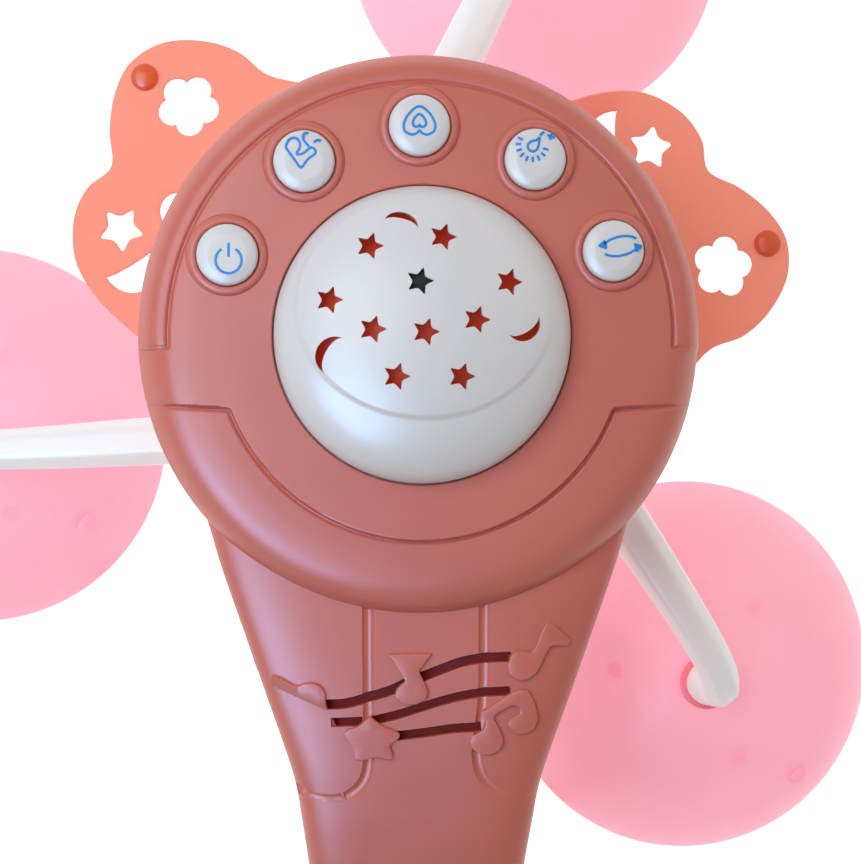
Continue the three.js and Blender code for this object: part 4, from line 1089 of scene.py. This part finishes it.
def clamp():
    """The rail clamp. Its own drawing has the fixed jaw's face as origin."""
    origin = (0, -190, RAIL_Z)
    width = 22
    line = [(-62, -30), (-62, 36), (12, 36), (12, -30), (3.2, -30), (3.2, 26), (-54, 26), (-54, -30)]
    body = along_x(plate(even(rounded(line, 3.5), 240, closed=True), [], -width, width, 1.6))
    socket_line = oval(96, 2.15)
    socket = plate(socket_line * (21, 16), [(socket_line * (17.3, 12.3))[::-1]], 34, 62, 1.2)
    boss = along_y(lathe(rounded([(7.4, 55), (14, 55), (14, 68), (7.4, 68)], 0.8), 72))
    bore = along_y(lathe([(0, 45), (7.4, 45), (7.4, 90), (0, 90)], 72))
    shape = joined(carved(body, bore), placed(socket, (0, -22, 0)), boss)
    piece("clamp_body", placed(shape, origin), "frame", "rose_housing", ["clamp_bracket"])

    pad = rounded([(-16, -22), (16, -22), (16, 18), (-16, 18)], 3)
    ribs = [rounded([(-13, z), (13, z), (13, z + 1.6), (-13, z + 1.6)], 0.6) for z in np.arange(-19, 15,
                                                                                                4.2)]
    cuts = [along_y(plate(rib, [], -0.6, 2, 0.02)) for rib in ribs]
    face = carved(along_y(plate(pad, [], -3, 0, 0.5)), *cuts)
    piece("jaw_rubber", placed(face, origin), "frame", "grey_rubber", ["jaw_pad"])
    seat = rounded([(-16, -50), (16, -50), (16, -2), (-16, -2)], 3)
    ribs = [rounded([(-13, y), (13, y), (13, y + 1.6), (-13, y + 1.6)], 0.6) for y in np.arange(-46, -5,
                                                                                                4.2)]
    under = carved(plate(seat, [], 23.6, 25.8, 0.5), *[plate(rib, [], 22, 24.2, 0.02) for rib in ribs])
    piece("seat_rubber", placed(under, origin), "frame", "grey_rubber", ["seat_pad"])

    press = along_y(lathe([(0, 40.5), (4, 40.5), (4.4, 40), (7.6, 40), (8, 40.5), (8.6, 40.5), (9, 40),
                           (12.4, 40), (13, 40.6), (13, 42.9), (0, 42.9)], 72))
    piece("press_rubber", placed(press, origin), "pressure_pad", "grey_rubber", ["pressure_pad"])
    dish = along_y(lathe(rounded([(0, 43), (15, 43), (15, 47), (0, 47)], 0.8, closed=False), 72))
    piece("press_dish", placed(dish, origin), "pressure_pad", "white_plastic", ["pressure_plate"])

    grip = flower_line(0, 0, 22.9, 1.5, 0, 160)
    wheel = plate(grip, [], 91.5, 107.5, 2.2)
    rise = lathe(rounded([(0, 106), (15, 106), (15, 110.5), (0, 110.5)], 1.2, closed=False), 72)
    thread = []
    for z in np.arange(48, 90, 4):
        thread += [(6.2, z), (7, z + 1), (7, z + 2), (6.2, z + 3)]
    spindle = lathe([(0, 47.3), (6, 47.3)] + thread + [(7, 92), (0, 92)], 48)
    knob = placed(along_y(joined(wheel, rise, spindle)), origin)
    piece("knob", knob, "clamp_knob", "white_plastic", ["clamp_knob"])


def inner_nodes(frame):
    """The CAD pieces that keep their own shape get the same materials."""
    slots = {row["node"]: row["material_slot"] for row in frame["record"]["subparts"]}
    for name, node in frame["nodes"].items():
        node.data.materials.clear()
        node.data.materials.append(LOOKS[slots[name]])


# ---- Surroundings ----
WALL_TOP = 0.75  # z of the direction where the walls' light gives way to the ceiling's
WALL_LIGHT = 0.6
CEILING_LIGHT = 0.14
WINDOW_WATTS = 3.4
LAMP_WATTS = 0.9
SHEEN_WATTS = 9
SWEEP_GLOW = 0.75
CAMERA_PLACE = (-0.0232, -0.0136, 0.5)  # from the middle of the head's face, in metres
CAMERA_AIM = (0.0019, -0.0227, 0)
LENS = 89.11


def floor():
    """A white sweep that glows, so that it stays white under the part."""
    mesh = bpy.data.meshes.new("floor")
    size, level = 4.0, -0.0315
    corners = [(-size, -size, level), (size, -size, level), (size, size, level), (-size, size, level)]
    mesh.from_pydata(corners, [], [(0, 1, 2, 3)])
    made = bpy.data.objects.new("floor", mesh)
    bpy.context.scene.collection.objects.link(made)
    look = bpy.data.materials.new("white_sweep")
    look.use_nodes = True
    shader = look.node_tree.nodes["Principled BSDF"]
    shader.inputs["Base Color"].default_value = (0.95, 0.95, 0.95, 1)
    shader.inputs["Roughness"].default_value = 0.9
    shader.inputs["Emission Color"].default_value = (1, 1, 1, 1)
    shader.inputs["Emission Strength"].default_value = SWEEP_GLOW
    mesh.materials.append(look)


def area_light(name, place, aim, size, energy, color):
    data = bpy.data.lights.new(name, "AREA")
    data.size = size
    data.energy = energy
    data.color = color
    made = bpy.data.objects.new(name, data)
    made.location = place
    made.rotation_euler = (Vector(aim) - Vector(place)).to_track_quat("-Z", "Y").to_euler()
    bpy.context.scene.collection.objects.link(made)
    return made


def room():
    """Even room light, stronger from the walls than from overhead."""
    world = bpy.data.worlds.new("room")
    world.use_nodes = True
    nodes, links = world.node_tree.nodes, world.node_tree.links
    sky = nodes["Background"]
    sky.inputs["Color"].default_value = (1, 0.94, 0.9, 1)
    where = nodes.new("ShaderNodeTexCoord")
    parts = nodes.new("ShaderNodeSeparateXYZ")
    links.new(where.outputs["Generated"], parts.inputs["Vector"])
    strength = stretched(world.node_tree, parts.outputs["Z"], (0, WALL_TOP), (WALL_LIGHT, CEILING_LIGHT),
                         smooth=True)
    links.new(strength, sky.inputs["Strength"])
    bpy.context.scene.world = world


def lights():
    """The room, a cool window, a warm lamp, and a blue sheen that only shows in glossy surfaces."""
    room()
    centre = (0, 0.17, 0.42)
    area_light("window", (-0.3, 0.3, 1.0), centre, 0.5, WINDOW_WATTS, (0.84, 0.93, 1))
    area_light("lamp", (0.5, 0.5, 0.85), centre, 0.6, LAMP_WATTS, (1, 0.8, 0.62))
    sheen = area_light("sheen", (-0.34, -0.16, 0.94), centre, 0.42, SHEEN_WATTS, (0.3, 0.55, 1))
    sheen.visible_diffuse = False


def camera():
    """Looks down on the head, from a little to the left of its axis."""
    data = bpy.data.cameras.new("camera")
    made = bpy.data.objects.new("camera", data)
    bpy.context.scene.collection.objects.link(made)
    bpy.context.scene.camera = made
    middle = Vector(HEAD / 1000)
    place = middle + Vector(CAMERA_PLACE)
    aim = middle + Vector(CAMERA_AIM)
    data.sensor_width = 36
    data.lens = LENS
    back = (place - aim).normalized()
    right = Vector((0, 1, 0)).cross(back).normalized()
    up = back.cross(right)
    made.matrix_world = Matrix.Translation(place) @ Matrix((right, up, back)).transposed().to_4x4()


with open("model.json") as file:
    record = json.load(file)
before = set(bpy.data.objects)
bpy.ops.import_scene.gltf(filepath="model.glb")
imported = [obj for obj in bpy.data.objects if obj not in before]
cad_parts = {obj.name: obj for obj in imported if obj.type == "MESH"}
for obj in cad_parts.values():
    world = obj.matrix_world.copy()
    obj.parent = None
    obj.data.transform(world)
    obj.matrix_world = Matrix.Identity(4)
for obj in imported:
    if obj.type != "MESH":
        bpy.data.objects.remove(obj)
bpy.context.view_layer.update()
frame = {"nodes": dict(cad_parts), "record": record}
inner_nodes(frame)
head_top()
shade_under_slots()
head_bottom()
battery_cover()
dome()
light_inside()
buttons()
arms()
leaves()
hub()
canopies()
stand()
clamp()
floor()
lights()
camera()
bpy.context.scene.view_settings.view_transform = "Standard"
